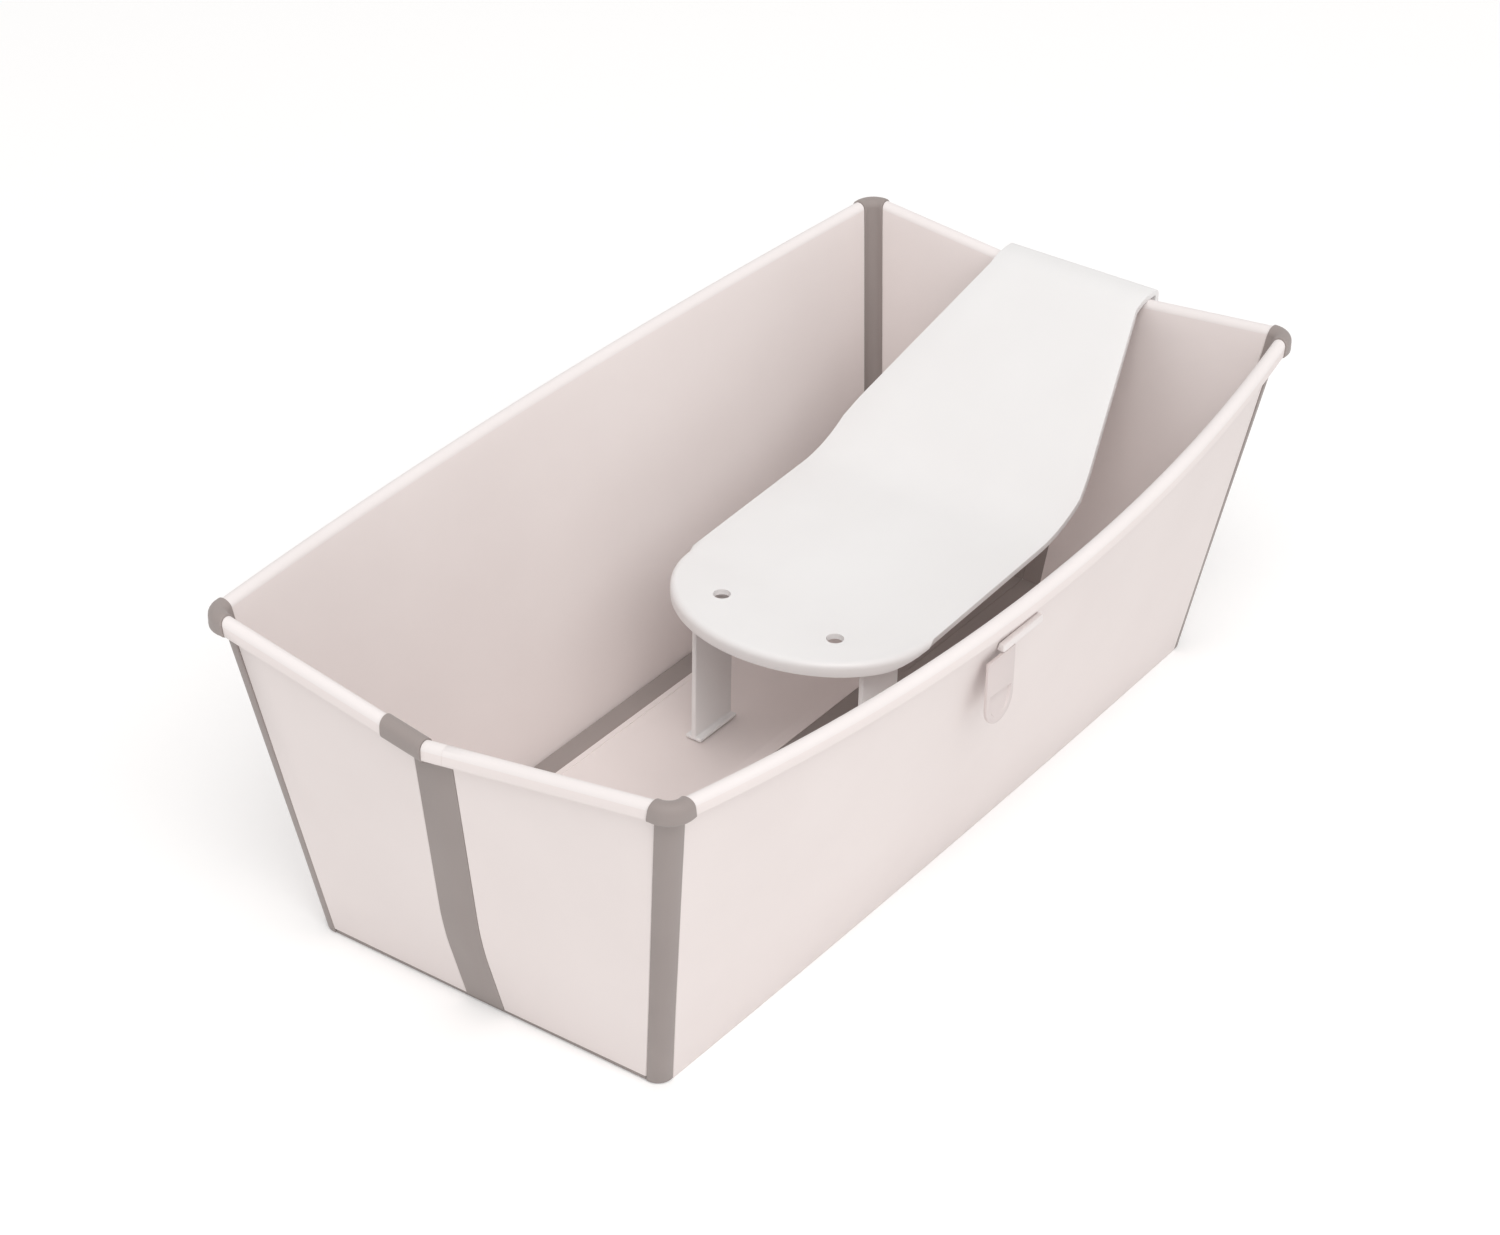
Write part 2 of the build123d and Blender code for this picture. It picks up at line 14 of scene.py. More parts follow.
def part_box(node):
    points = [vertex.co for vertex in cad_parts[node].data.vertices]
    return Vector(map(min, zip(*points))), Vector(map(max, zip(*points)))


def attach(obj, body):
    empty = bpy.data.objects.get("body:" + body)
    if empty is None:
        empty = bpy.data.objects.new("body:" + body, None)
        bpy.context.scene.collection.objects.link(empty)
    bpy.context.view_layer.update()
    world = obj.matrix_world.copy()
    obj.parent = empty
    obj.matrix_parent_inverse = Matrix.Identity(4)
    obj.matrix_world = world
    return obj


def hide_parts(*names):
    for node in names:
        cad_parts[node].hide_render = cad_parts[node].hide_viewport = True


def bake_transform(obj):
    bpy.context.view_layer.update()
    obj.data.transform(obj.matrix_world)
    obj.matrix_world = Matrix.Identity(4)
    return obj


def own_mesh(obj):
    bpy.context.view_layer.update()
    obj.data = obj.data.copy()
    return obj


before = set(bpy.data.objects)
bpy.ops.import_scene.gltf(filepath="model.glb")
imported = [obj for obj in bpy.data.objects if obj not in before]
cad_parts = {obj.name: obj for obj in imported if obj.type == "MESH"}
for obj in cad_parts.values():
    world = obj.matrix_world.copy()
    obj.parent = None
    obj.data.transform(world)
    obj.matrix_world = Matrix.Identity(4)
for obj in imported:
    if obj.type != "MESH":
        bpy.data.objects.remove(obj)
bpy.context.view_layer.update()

bl_info = {
    "name": "Folding Baby Bathtub",
    "version": (1, 0, 0),
    "blender": (4, 5, 0),
    "location": "3D View > Sidebar > Bathtub",
    "description": "Models a folding baby bathtub with a newborn support",
    "category": "Object",
}

SIDES = {"far": 1, "near": -1}
ENDS = {"front": -1, "rear": 1}

# How far one piece reaches into the next, the least gap between two, and how near
# points are when they are merged.
OVERLAP = 0.0004
TOUCH = 0.00005
MERGE = 1e-6

# Roundings of a wall's section: how wide, and in how many steps.
LIP_ROUND = (0.0014, 3)
CAP_LIP_ROUND = (0.003, 3)
NECK_ROUND = (0.0035, 5)
FOOT_ROUND = (0.0008, 3)
BELLY_ROUND = (0.02, 5)

# The rolled rim: its corners in a section, how far down its painted light goes as a
# share of its width, and the wall's two materials: the panel, and a lighter copy of
# it painted as the light on the rim's top.
RIM_KEYS = ("neck_in", "top_in", "top_out", "lip_low", "neck_out")
RIM_LIGHT_SHARE = 0.6
WALL_KINDS = ("panel", "rim")

# How many sections, sides or steps a form has.
ROLL_STEPS = 7
WALL_STATIONS = 40
END_STEPS = 6
CORNER_FAN = 10
STRIP_STEPS = 8
SIDE_STATIONS = 24
SIDE_ROWS = 6
GUSSET_TURNS = 6
ROUND_STEPS = 64
BORE_SIDES = 48
HOLE_SIDES = 40
STRAP_TURNS = 14
HOOK_TURNS = 8
SHOULDER_STEPS = 6
BACK_STEPS = 8
BEND_STEPS = 10
SEAT_STEPS = 5
NOSE_STEPS = 40
LIP_STEPS = 5
SHEET_COLUMNS = 8

# Edges and shading, in degrees.
SHARP = 35.0
SHEET_SHARP = 40.0
SHEET_EDGE = 50.0
SQUARE_EDGE = 60.0

# How nearly an edge or a face points across the tub, where 1 is straight across.
ACROSS = 0.9

# Small sizes of the floor and its drain; a pair is a rounding and its steps.
PANEL_BORDER = 0.012
GROOVE_WIDTH = 0.0012
GROOVE_DEPTH = 0.0006
GUSSET_CLEAR = 0.0005
GUSSET_SHEET = 0.003
DRILL_DEPTH = 0.03
FLANGE = 0.0012
FLANGE_ROUND = 0.0008
SEAT_FIT = 0.0001
PLUG_FIT = 0.00025
PLUG_DEEP = 0.004
PLUG_HIGH = 0.002
PLUG_ROUND = 0.0006
PLUG_BEVEL = 0.0004
PLUG_CROWN = ((0.001, 0.0002), (0.003, 0.0))
GRIP_LENGTH = 0.020
GRIP_THICK = 0.003
GRIP_HIGH = 0.0075
GRIP_SUNK = 0.0005
GRIP_ROUND = (0.005, 8)
GRIP_EDGE = (0.0009, 3)

# Small sizes of the strap and its keepers.
KEEPER_ROUND = (0.0011, 3)
STRAP_CLEAR = 0.0007
STRAP_ROUND = (0.0006, 2)
STRAP_FLAT = 0.0002
SCOOP_BORDER = 0.005
SCOOP_SLOPE = 0.0012
SCOOP_TURN = 0.6

# Small sizes of the newborn support.
BACK_CLEAR = 0.003
HOOK_CLEAR = 0.0002
HOOK_SLACK = 0.0012
HOOK_TURN = 0.006
HOOK_REACH = 0.0173
HOOK_ROWS = (0.0, 0.0005, 0.0015, 0.003, 0.005, 0.008)
SHOULDER_START = 0.008
SHOULDER_BEND = 0.001
BACK_START = 0.012
BACK_SINK = 0.0053
BACK_LENGTH = 0.1655
BACK_FALL = 0.0994
SEAT_LENGTH = 0.262
SEAT_FALL = 0.008
SEAT_BEND = 0.030
SHEET_ROUND = (0.0014, 3)
LIP_ROLL = 0.005
LIP_TAPER = 0.5
HOLE_SETBACK = 0.049
HOLE_INSET = 0.057
LEG_SETBACK = 0.048
LEG_INSET = 0.033
LEG_LENGTH = 0.046
LEG_HALF = 0.002
LEG_FOOT_HALF = 0.007
LEG_FOOT_HIGH = 0.003
LEG_CLEAR = 0.0003
LEG_TOP_CLEAR = 0.0002
LEG_ROUND = (0.0009, 3)

# Looks that all the finishes share.
PATCH_WARMTH = 0.995
PATCH_SPREAD = (0.3, 0.7)

# The stage. Each lamp has a name, a place, a width and a power.
LAMPS = (
    ("key_lamp", (-3.0, -2.4, 5.6), 4.4, 176.0),
    ("fill_lamp", (-0.6, -4.8, 4.4), 4.0, 50.0),
)
LAMP_TARGET = (0, 0, 0.1)
LAMP_COLOUR = (1.0, 0.985, 0.97)
WORLD_COLOUR = (1.0, 0.99, 0.985, 1)
WORLD_LIGHT = 0.7
GROUND_HALF = 30.0
GROUND_ROUGHNESS = 0.9
GROUND_GLOW = 0.14

# The camera: turn, height and roll in degrees, then its place. Its focal length
# and the photograph's width are in the photograph's pixels.
CAMERA_ANGLES = (-54.96, 32.28, 1.08)
CAMERA_PLACE = (-1.9208, -1.3195, 1.6112)
FOCAL_PIXELS = 3812.6
PHOTO_WIDTH = 1500.0
SENSOR_WIDTH = 36.0
FAR_CLIP = 100.0


def distance(name, description, default):
    """A length that the user may change."""
    return bpy.props.FloatProperty(
        name=name, description=description, default=default, precision=5, unit="LENGTH",
        subtype="DISTANCE",
    )


def paint(name, description, default):
    """A colour that the user may change."""
    return bpy.props.FloatVectorProperty(
        name=name, description=description, default=default, size=3, min=0.0, max=1.0,
        subtype="COLOR",
    )


class BathtubSizes(bpy.types.PropertyGroup):
    """The tub's driving sizes."""

    base_half_length: distance("Base half length", "Half length at the ground", 0.342)
    base_half_width: distance("Base half width", "Half width at the ground", 0.148)
    rim_half_length: distance("Rim half length", "Half length inside the rim", 0.3835)
    rim_half_width: distance("Rim half width", "Half width inside the rim", 0.1855)
    rim_height: distance("Rim height", "Height of the rim at the corners", 0.270)
    end_bow: distance("End bow", "How far an end rim bows outward", 0.008)
    end_dip: distance("End dip", "How far an end rim dips", 0.023)
    side_bow: distance("Side bow", "How far a long rim bows outward", 0.030)
    side_dip: distance("Side dip", "How far a long rim dips", 0.0155)
    side_foot_bow: distance("Foot bow", "Bow of a long wall at the ground", 0.003)
    end_belly: distance("End belly", "Swell of an end wall low down", 0.010)
    belly_height: distance("Belly height", "Height of that swell", 0.074)
    wall: distance("Wall", "Thickness of the panels", 0.003)
    rim_width: distance("Rim width", "Width of the rolled rim", 0.010)
    rim_lip: distance("Rim lip", "Drop of the rim's outer side", 0.013)
    rim_flare: distance("Rim flare", "Where the flare under the rim ends", 0.018)
    rim_neck: distance("Rim foot", "Inner foot of the rim", 0.0217)
    corner_round: distance("Corner round", "Inner radius of the corners", 0.008)
    pivot_inset: distance("Pivot inset", "Bending axis inside the wall faces", 0.004)
    corner_leg: distance("Corner leg", "Reach of a corner strip along a wall", 0.002)
    cap_skin: distance("Cap skin", "How far the caps stand proud", 0.0012)
    cap_drop: distance("Cap drop", "Drop of a middle cap", 0.021)
    mid_cap_length: distance("Middle cap", "Length of a middle cap", 0.034)
    strip_half: distance("Strip half", "Half width of an end strip", 0.016)
    strip_sheet: distance("Strip sheet", "Thickness of the strips", 0.0024)
    strip_drop: distance("Strip drop", "End strips below the rim's crest", 0.022)
    strip_low: distance("Strip foot", "Height of the corner strips' foot", 0.0005)
    panel_low: distance("Panel foot", "Height of the end panels' foot", 0.0043)
    seam: distance("Seam", "Rounding of the pieces where they meet", 0.0005)
    gap: distance("Gap", "Gap between strip and panel", 0.0003)
    seat_gap: distance("Seat gap", "Gap between seated pieces", 0.00015)
    open_gap: distance("Open gap", "Half the gap in the rear rim", 0.00175)
    floor_low: distance("Floor underside", "Height of the floor's underside", 0.002)
    floor_sheet: distance("Floor sheet", "Thickness of the floor", 0.003)
    hinge_strip: distance("Hinge strip", "Width of the strips along the floor", 0.015)
    gusset_offset: distance("Gusset offset", "Floor's end short of the corner", 0.024)
    gusset_low: distance("Gusset underside", "Height of the gussets", 0.001)
    latch_x: distance("Latch place", "Place of the strap's keeper along the tub", -0.020)
    keeper_length: distance("Keeper length", "Length of the keeper", 0.050)
    keeper_height: distance("Keeper height", "Height of the keeper", 0.0065)
    keeper_drop: distance("Keeper drop", "Keeper below the long rim", 0.039)
    keeper_proud: distance("Keeper proud", "How far the keeper stands out", 0.0065)
    catch_lip: distance("Catch lip", "Drop of the catch's lip", 0.005)
    catch_sheet: distance("Catch sheet", "Thickness of the catch's lip", 0.0025)
    strap_offset: distance("Strap offset", "Strap's place from the keeper's", 0.026)
    strap_width: distance("Strap width", "Width of the strap", 0.034)
    strap_sheet: distance("Strap sheet", "Thickness of the strap", 0.0026)
    strap_drop: distance("Strap drop", "Length of the strap", 0.055)
    scoop_height: distance("Scoop height", "Height of the finger scoop", 0.024)
    scoop_depth: distance("Scoop depth", "Depth of the finger scoop", 0.0012)
    drain_x: distance("Drain place", "Place of the drain along the tub", -0.150)
    drain_y: distance("Drain side", "Place of the drain across the tub", -0.042)
    drain_bore: distance("Drain bore", "Hole through the drain seat", 0.026)
    drain_outer: distance("Drain outer", "Drain seat in the floor", 0.036)
    drain_flange: distance("Drain flange", "Flange of the drain seat", 0.046)
    plug_head: distance("Plug head", "Head of the plug", 0.031)
    support_sheet: distance("Support sheet", "Thickness of the support", 0.0045)
    hook_half_width: distance("Hook half width", "Half width of the hook", 0.066)
    hook_round: distance("Hook corners", "Rounding of the hook's end", 0.008)
    seat_half_width: distance("Seat half width", "Half width of the seat", 0.107)
    seat_nose: distance("Seat nose", "Length of the seat's round nose", 0.086)
    lip_drop: distance("Lip drop", "Drop of the seat's lip", 0.011)
    support_hole: distance("Drain holes", "Holes in the seat", 0.013)


class BathtubColours(bpy.types.PropertyGroup):
    """The tub's colours."""

    panel: paint("Panels", "Warm off-white of the walls", (0.84, 0.77, 0.752))
    # The rims' colour is the panels' plastic painted lighter: painted light on the rolled rims'
    # tops, and a painted highlight on the keeper bars.
    rim: paint("Rims", "Lighter white of the rolled rims", (0.87, 0.82, 0.81))
    fold_strip: paint("Fold strips", "Taupe of the flexible strips", (0.33, 0.285, 0.27))
    support: paint("Support", "White of the newborn support", (0.845, 0.84, 0.838))
    # The strap is darker than the walls, partly its own tone and partly painted shade for its
    # shaded finger scoop.
    strap: paint("Strap", "Off-white of the strap", (0.70, 0.625, 0.612))
    plug: paint("Plug", "Pale grey of the plug", (0.62, 0.59, 0.57))
    floor: paint("Ground", "Pale ground", (0.90, 0.90, 0.90))


class Layout:
    """Places that follow from the driving sizes."""

    def __init__(self, context):
        sizes = context.scene.bathtub_sizes
        self.s = sizes
        self.colours = context.scene.bathtub_colours
        low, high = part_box("side_wall_far")
        self.shift = (low.x + high.x) / 2
        self.foot_x = sizes.base_half_length - sizes.wall - sizes.corner_round
        self.foot_y = sizes.base_half_width - sizes.wall - sizes.corner_round
        self.top_x = sizes.rim_half_length - sizes.corner_round
        self.top_y = sizes.rim_half_width - sizes.corner_round

    def end_line(self, y_foot, y_top, sign_x, sign_y):
        """Base points of an end wall at given distances from the middle."""
        s = self.s
        share_foot = 1 - y_foot / self.foot_y
        share_top = 1 - y_top / self.top_y
        foot = Vector((sign_x * self.foot_x, sign_y * y_foot, 0))
        x = sign_x * (self.top_x + s.end_bow * share_top)
        top = Vector((x, sign_y * y_top, s.rim_height - s.end_dip * share_top))
        return foot, top, s.end_belly * share_foot

    def side_line(self, share, sign_y):
        """Base points of a long wall; share runs from -1 at the front to 1."""
        s = self.s
        swell = 1 - share * share
        foot_y = self.foot_y + s.side_foot_bow * swell
        top_y = self.top_y + s.side_bow * swell
        foot = Vector((share * (self.foot_x - s.corner_leg), sign_y * foot_y, 0))
        top = Vector((share * (self.top_x - s.corner_leg), sign_y * top_y, 0))
        top.z = s.rim_height - s.side_dip * swell
        return foot, top

    def corner_line(self, sign_x, sign_y, leg=0.0):
        """Base points at a corner, or a little way along the long wall from it."""
        foot = Vector((sign_x * (self.foot_x - leg), sign_y * self.foot_y, 0))
        top = Vector((sign_x * (self.top_x - leg), sign_y * self.top_y, self.s.rim_height))
        return foot, top

    def wall_face(self, height):
        """How far out the long wall's outer face is at the latch, at a height."""
        share = self.s.latch_x / (self.top_x - self.s.corner_leg)
        foot, top = self.side_line(share, 1)
        lean = (top.y - foot.y) * height / top.z
        return foot.y + lean + self.s.corner_round + self.s.wall


def wall_ring(lay, foot, top, outward, low, skin=0.0, belly=0.0, inset=0.0):
    """Corners of a wall section, up the inside, over the rim and down the outside."""
    s = lay.s
    out = Vector(outward).normalized()
    rise = top - foot
    lean = rise.dot(out)
    up = rise - out * lean
    crest = up.length
    up.normalize()

    def inner(v):
        """The inner face at a height up the wall."""
        swell = belly * max(0.0, 1 - abs(v - s.belly_height) / s.belly_height)
        return s.corner_round + lean * v / crest + swell

    sheet = s.wall - inset
    proud = skin - inset
    in_u = inner(crest)
    out_u = in_u + s.rim_width
    flat = {
        "foot_in": (inner(low) + inset, low + inset),
        "belly_in": (inner(s.belly_height) + inset, s.belly_height),
        "neck_in": (inner(crest - s.rim_neck) + inset, crest - s.rim_neck),
        "top_in": (in_u - proud, crest + proud),
        "top_out": (out_u + proud, crest + proud),
        "lip_low": (out_u + proud, crest - s.rim_lip),
        "neck_out": (inner(crest - s.rim_flare) + sheet + skin, crest - s.rim_flare),
        "belly_out": (inner(s.belly_height) + sheet, s.belly_height),
        "foot_out": (inner(low) + sheet, low + inset),
    }
    return {k: foot + out * u + up * v for k, (u, v) in flat.items()}


def sheet_ring(lay, foot, top, outward, low, belly):
    """Corners of a strip section flush with the outside of the wall, with no rim."""
    s = lay.s
    ring = wall_ring(lay, foot, top, outward, low, 0.0, belly)
    out = Vector(outward).normalized()
    back = s.wall - s.strip_sheet
    run = (ring["top_in"] - ring["neck_in"]).normalized()
    return {
        "foot_in": ring["foot_in"] + out * back,
        "belly_in": ring["belly_in"] + out * back,
        "top_in": ring["top_in"] - run * s.strip_drop + out * back,
        "top_out": ring["top_in"] - run * (s.rim_flare + s.gap) + out * s.wall,
        "belly_out": ring["belly_out"],
        "foot_out": ring["foot_out"],
    }


def rim_ring(lay, foot, top, outward, skin, belly):
    """Corners of a cap section round the rolled rim alone."""
    s = lay.s
    ring = wall_ring(lay, foot, top, outward, 0.0, 0.0, belly)
    out = Vector(outward).normalized()
    up = (top - foot) - out * (top - foot).dot(out)
    up.normalize()
    run = (ring["top_in"] - ring["neck_in"]).normalized()
    low_in = ring["top_in"] - run * s.cap_drop
    return {
        "low_in": low_in - out * skin,
        "top_in": ring["top_in"] + (up - out) * skin,
        "top_out": ring["top_out"] + (up + out) * skin,
        "lip_low": ring["lip_low"] + out * skin,
        "low_out": low_in + out * (s.wall + skin),
    }


def corners():
    """Names and signs of the tub's four corners."""
    for end, sign_x in ENDS.items():
        for side, sign_y in SIDES.items():
            yield end, side, sign_x, sign_y


def face_out(bm):
    """Makes the faces of a closed mesh look outward."""
    bmesh.ops.recalc_face_normals(bm, faces=bm.faces)


def rounded(bm, geom, offset, segments, affect="EDGES", clamp=False):
    """Rounds the given edges or corners."""
    bmesh.ops.bevel(
        bm, geom=geom, offset=offset, offset_type="OFFSET", segments=segments,
        profile=0.5, affect=affect, material=-1, clamp_overlap=clamp,
    )


def loft(bm, rings, rounds, end_rounds=None):
    """A closed form through flat sections, each with the named corners rounded."""
    faces = []
    for ring in rings:
        known = set(bm.faces)
        verts = {key: bm.verts.new(place) for key, place in ring.items()}
        bm.faces.new(list(verts.values()))
        at_end = end_rounds and ring in (rings[0], rings[-1])
        for key, (offset, segments) in (end_rounds if at_end else rounds).items():
            if key in verts:
                rounded(bm, [verts[key]], offset, segments, "VERTICES")
        face = next(f for f in bm.faces if f not in known)
        if faces:
            bmesh.ops.bridge_loops(bm, edges=list(faces[-1].edges) + list(face.edges))
        faces.append(face)
    bmesh.ops.delete(bm, geom=faces[1:-1], context="FACES_ONLY")
    return bm


def paint_rim_light(bm, crest, drop):
    """Gives the faces near a wall's top the lighter material, as painted light."""
    for face in bm.faces:
        middle = face.calc_center_median()
        if middle.z > crest(middle) - drop:
            face.material_index = 1


def mesh_object(name, bm):
    """A new object that takes over a mesh under construction."""
    mesh = bpy.data.meshes.new(name)
    bm.to_mesh(mesh)
    bm.free()
    obj = bpy.data.objects.new(name, mesh)
    bpy.context.scene.collection.objects.link(obj)
    return obj


def piece(lay, bm, name, node, slot, kinds=None, sharp=SHARP):
    """Makes the object of a finished mesh and hides the CAD part that it stands for.

    The mesh is drawn about the tub's own middle, and is moved to the frame's here.
    """
    bmesh.ops.translate(bm, verts=bm.verts, vec=(lay.shift, 0, 0))
    face_out(bm)
    obj = mesh_object(name, bm)
    for kind in kinds or (slot,):
        obj.data.materials.append(finish(lay.colours, kind))
    obj.data.shade_smooth()
    obj.data.set_sharp_from_angle(angle=math.radians(sharp))
    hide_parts(node)
    return obj


def shader(name, colour, roughness, coat=0.0, sheen=0.0):
    """A new material with its surface shader, and its object coordinates."""
    material = bpy.data.materials.new(name)
    material.use_nodes = True
    nodes = material.node_tree.nodes
    links = material.node_tree.links
    surface = nodes["Principled BSDF"]
    looks = {"Roughness": roughness, "Coat Weight": coat, "Sheen Weight": sheen}
    for key, value in {"Base Color": (*colour, 1), **looks}.items():
        surface.inputs[key].default_value = value
    coordinates = nodes.new("ShaderNodeTexCoord")
    return material, nodes, links, surface, coordinates


def add(nodes, kind, **values):
    """A new node with some of its inputs set."""
    node = nodes.new("ShaderNode" + kind)
    for name, value in values.items():
        node.inputs[name.replace("_", " ")].default_value = value
    return node


def mottle(nodes, links, coordinates, colour, surface, dark):
    """A soft unevenness in the colour, a little warmer where it is darker."""
    cloud = add(nodes, "TexNoise", Scale=9.0, Detail=4.0)
    links.new(coordinates.outputs["Object"], cloud.inputs["Vector"])
    ramp = nodes.new("ShaderNodeValToRGB")
    red, green, blue = (c * dark for c in colour)
    shade = (red, green * PATCH_WARMTH, blue * PATCH_WARMTH)
    for stop, place, tint in zip(ramp.color_ramp.elements, PATCH_SPREAD, (shade, colour)):
        stop.position = place
        stop.color = (*tint, 1)
    links.new(cloud.outputs["Fac"], ramp.inputs["Fac"])
    links.new(ramp.outputs["Color"], surface.inputs["Base Color"])


def grain(nodes, links, coordinates, surface, scale, depth, low, high):
    """A fine grain that moves the gloss and the surface a little."""
    fine = add(nodes, "TexNoise", Scale=scale, Detail=3.0)
    links.new(coordinates.outputs["Object"], fine.inputs["Vector"])
    gloss = add(nodes, "MapRange", To_Min=low, To_Max=high)
    links.new(fine.outputs["Fac"], gloss.inputs["Value"])
    links.new(gloss.outputs["Result"], surface.inputs["Roughness"])
    bump = add(nodes, "Bump", Strength=0.25, Distance=depth)
    links.new(fine.outputs["Fac"], bump.inputs["Height"])
    links.new(bump.outputs["Normal"], surface.inputs["Normal"])


# Each finish: name, roughness, grain scale, grain depth, spread of the roughness,
# coat, sheen, and how dark its darker patches are.
FINISHES = {
    "panel": ("panel_matt", 0.5, 900.0, 0.00008, 0.05, 0.0, 0.0, 0.97),
    # The rim finish's lighter colour is painted light on the rims and a painted highlight on the
    # keepers.
    "rim": ("rim_satin", 0.4, 700.0, 0.00005, 0.05, 0.0, 0.0, 0.97),
    "fold_strip": ("strip_elastomer", 0.62, 1200.0, 0.0001, 0.06, 0.0, 0.15, 0.9),
    "support": ("support_satin", 0.38, 500.0, 0.00004, 0.05, 0.1, 0.0, 0.97),
    "strap": ("strap_satin", 0.45, 800.0, 0.00005, 0.05, 0.0, 0.0, 0.97),
    "plug": ("plug_soft", 0.55, 1000.0, 0.00008, 0.06, 0.0, 0.0, 0.97),
}


def finish(colours, kind):
    """One moulded finish: base colour, soft mottle and fine grain."""
    name, rough, scale, depth, spread, coat, sheen, dark = FINISHES[kind]
    found = bpy.data.materials.get(name)
    if found:
        return found
    colour = tuple(getattr(colours, kind))
    material, nodes, links, surface, where = shader(name, colour, rough, coat, sheen)
    mottle(nodes, links, where, colour, surface, dark)
    grain(nodes, links, where, surface, scale, depth, rough - spread, rough + spread)
    return material


def wall_rounds(s, skin=0.0, belly=True):
    """How each corner of a wall section is rounded."""
    roll = (s.rim_width / 2 + skin - TOUCH, ROLL_STEPS)
    rounds = {
        "top_in": roll,
        "top_out": roll,
        "lip_low": LIP_ROUND,
        "neck_out": NECK_ROUND,
        "foot_out": FOOT_ROUND,
    }
    if belly:
        rounds["belly_in"] = BELLY_ROUND
        rounds["belly_out"] = BELLY_ROUND
    return rounds


class BATHTUB_OT_long_walls(bpy.types.Operator):
    """Model the two long walls with their rolled rims"""

    bl_idname = "bathtub.long_walls"
    bl_label = "Long Walls"

    def execute(self, context):
        lay = Layout(context)
        s = lay.s
        rounds = wall_rounds(s, belly=False)
        end_rounds = wall_rounds(s, -s.seam, False)
        step = s.seam / lay.top_x
        shares = [2 * i / WALL_STATIONS - 1 for i in range(1, WALL_STATIONS)]
        for side, sign in SIDES.items():
            outward = (0, sign, 0)

            def ring(share, inset=0.0):
                line = lay.side_line(share, sign)
                return wall_ring(lay, *line, outward, 0.0, inset=inset)

            bm = bmesh.new()
            rings = [ring(share) for share in (step - 1, *shares, 1 - step)]
            rings = [ring(-1, s.seam)] + rings + [ring(1, s.seam)]
            loft(bm, rings, rounds, end_rounds)

            def crest(place):
                share = place.x / (lay.top_x - s.corner_leg)
                return s.rim_height - s.side_dip * max(0.0, 1 - share * share)

            # The rim's top gets the lighter material as painted light.
            paint_rim_light(bm, crest, s.rim_width * RIM_LIGHT_SHARE)
            name = "long_wall_" + side
            obj = piece(lay, bm, name, "side_wall_" + side, "panel", WALL_KINDS)
            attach(obj, "side_" + side)
        return {"FINISHED"}


class BATHTUB_OT_end_walls(bpy.types.Operator):
    """Model the four halves of the end walls"""

    bl_idname = "bathtub.end_walls"
    bl_label = "End Walls"

    def execute(self, context):
        lay = Layout(context)
        s = lay.s
        rounds = wall_rounds(s)
        inner = s.strip_half + s.gap
        foot_y = lay.foot_y - s.corner_leg
        top_y = lay.top_y - s.corner_leg
        for end, side, sign_x, sign_y in corners():

            def ring(y_foot, y_top, inset=0.0):
                foot, top, belly = lay.end_line(y_foot, y_top, sign_x, sign_y)
                return wall_ring(lay, foot, top, (sign_x, 0, 0), s.panel_low, 0.0, belly, inset)

            def across(k):
                return foot_y + (inner - foot_y) * k, top_y + (inner - top_y) * k

            bm = bmesh.new()
            step = s.seam / (foot_y - inner)
            shares = [i / END_STEPS for i in range(1, END_STEPS)]
            shares = [step] + shares + [1 - step]
            rings = [ring(*across(0), s.seam)]
            rings += [ring(*across(k)) for k in shares]
            rings += [ring(*across(1), s.seam)]
            loft(bm, rings, rounds, wall_rounds(s, -s.seam))
            if side == "near":
                stop = s.seat_gap if end == "front" else s.open_gap
                ends = [ring(y, y) for y in (stop, inner + OVERLAP)]
                loft(bm, [{key: e[key] for key in RIM_KEYS} for e in ends], rounds)

            def crest(place):
                share = 1 - abs(place.y) / lay.top_y
                return s.rim_height - s.end_dip * share

            # The rim's top gets the lighter material as painted light.
            paint_rim_light(bm, crest, s.rim_width * RIM_LIGHT_SHARE)
            name = end + "_" + side
            node = "end_panel_" + name
            obj = piece(lay, bm, "end_wall_" + name, node, "panel", WALL_KINDS)
            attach(obj, end + "_half_" + side)
        return {"FINISHED"}


class BATHTUB_OT_corner_strips(bpy.types.Operator):
    """Model the flexible strips round the corners, with their rim caps"""

    bl_idname = "bathtub.corner_strips"
    bl_label = "Corner Strips"

    def execute(self, context):
        lay = Layout(context)
        s = lay.s
        leg = s.corner_leg - TOUCH
        low = s.strip_low
        skin = s.cap_skin
        rounds = wall_rounds(s, skin, False)
        for end, side, sign_x, sign_y in corners():
            rings = []
            for part, inset in ((leg, s.seam), (leg - s.seam, 0.0)):
                foot, top, belly = lay.end_line(
                    lay.foot_y - part, lay.top_y - part, sign_x, sign_y
                )
                out = (sign_x, 0, 0)
                ring = wall_ring(lay, foot, top, out, low, skin, belly, inset)
                rings.append(ring)
            foot, top = lay.corner_line(sign_x, sign_y)
            for i in range(CORNER_FAN + 1):
                a = math.pi / 2 * i / CORNER_FAN
                out = (sign_x * math.cos(a), sign_y * math.sin(a), 0)
                rings.append(wall_ring(lay, foot, top, out, low, skin))
            for part, inset in ((leg - s.seam, 0.0), (leg, s.seam)):
                line = lay.corner_line(sign_x, sign_y, part)
                out = (0, sign_y, 0)
                rings.append(wall_ring(lay, *line, out, low, skin, 0.0, inset))
            bm = loft(bmesh.new(), rings, rounds, wall_rounds(s, skin - s.seam, False))
            node = f"corner_strip_{end}_{side}"
            name = f"fold_strip_corner_{end}_{side}"
            obj = piece(lay, bm, name, node, "fold_strip")
            axis = top - foot
            across = Vector((sign_x, -sign_y, 0))
            across -= axis * across.dot(axis) / axis.length_squared
            across.normalize()
            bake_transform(obj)
        return {"FINISHED"}


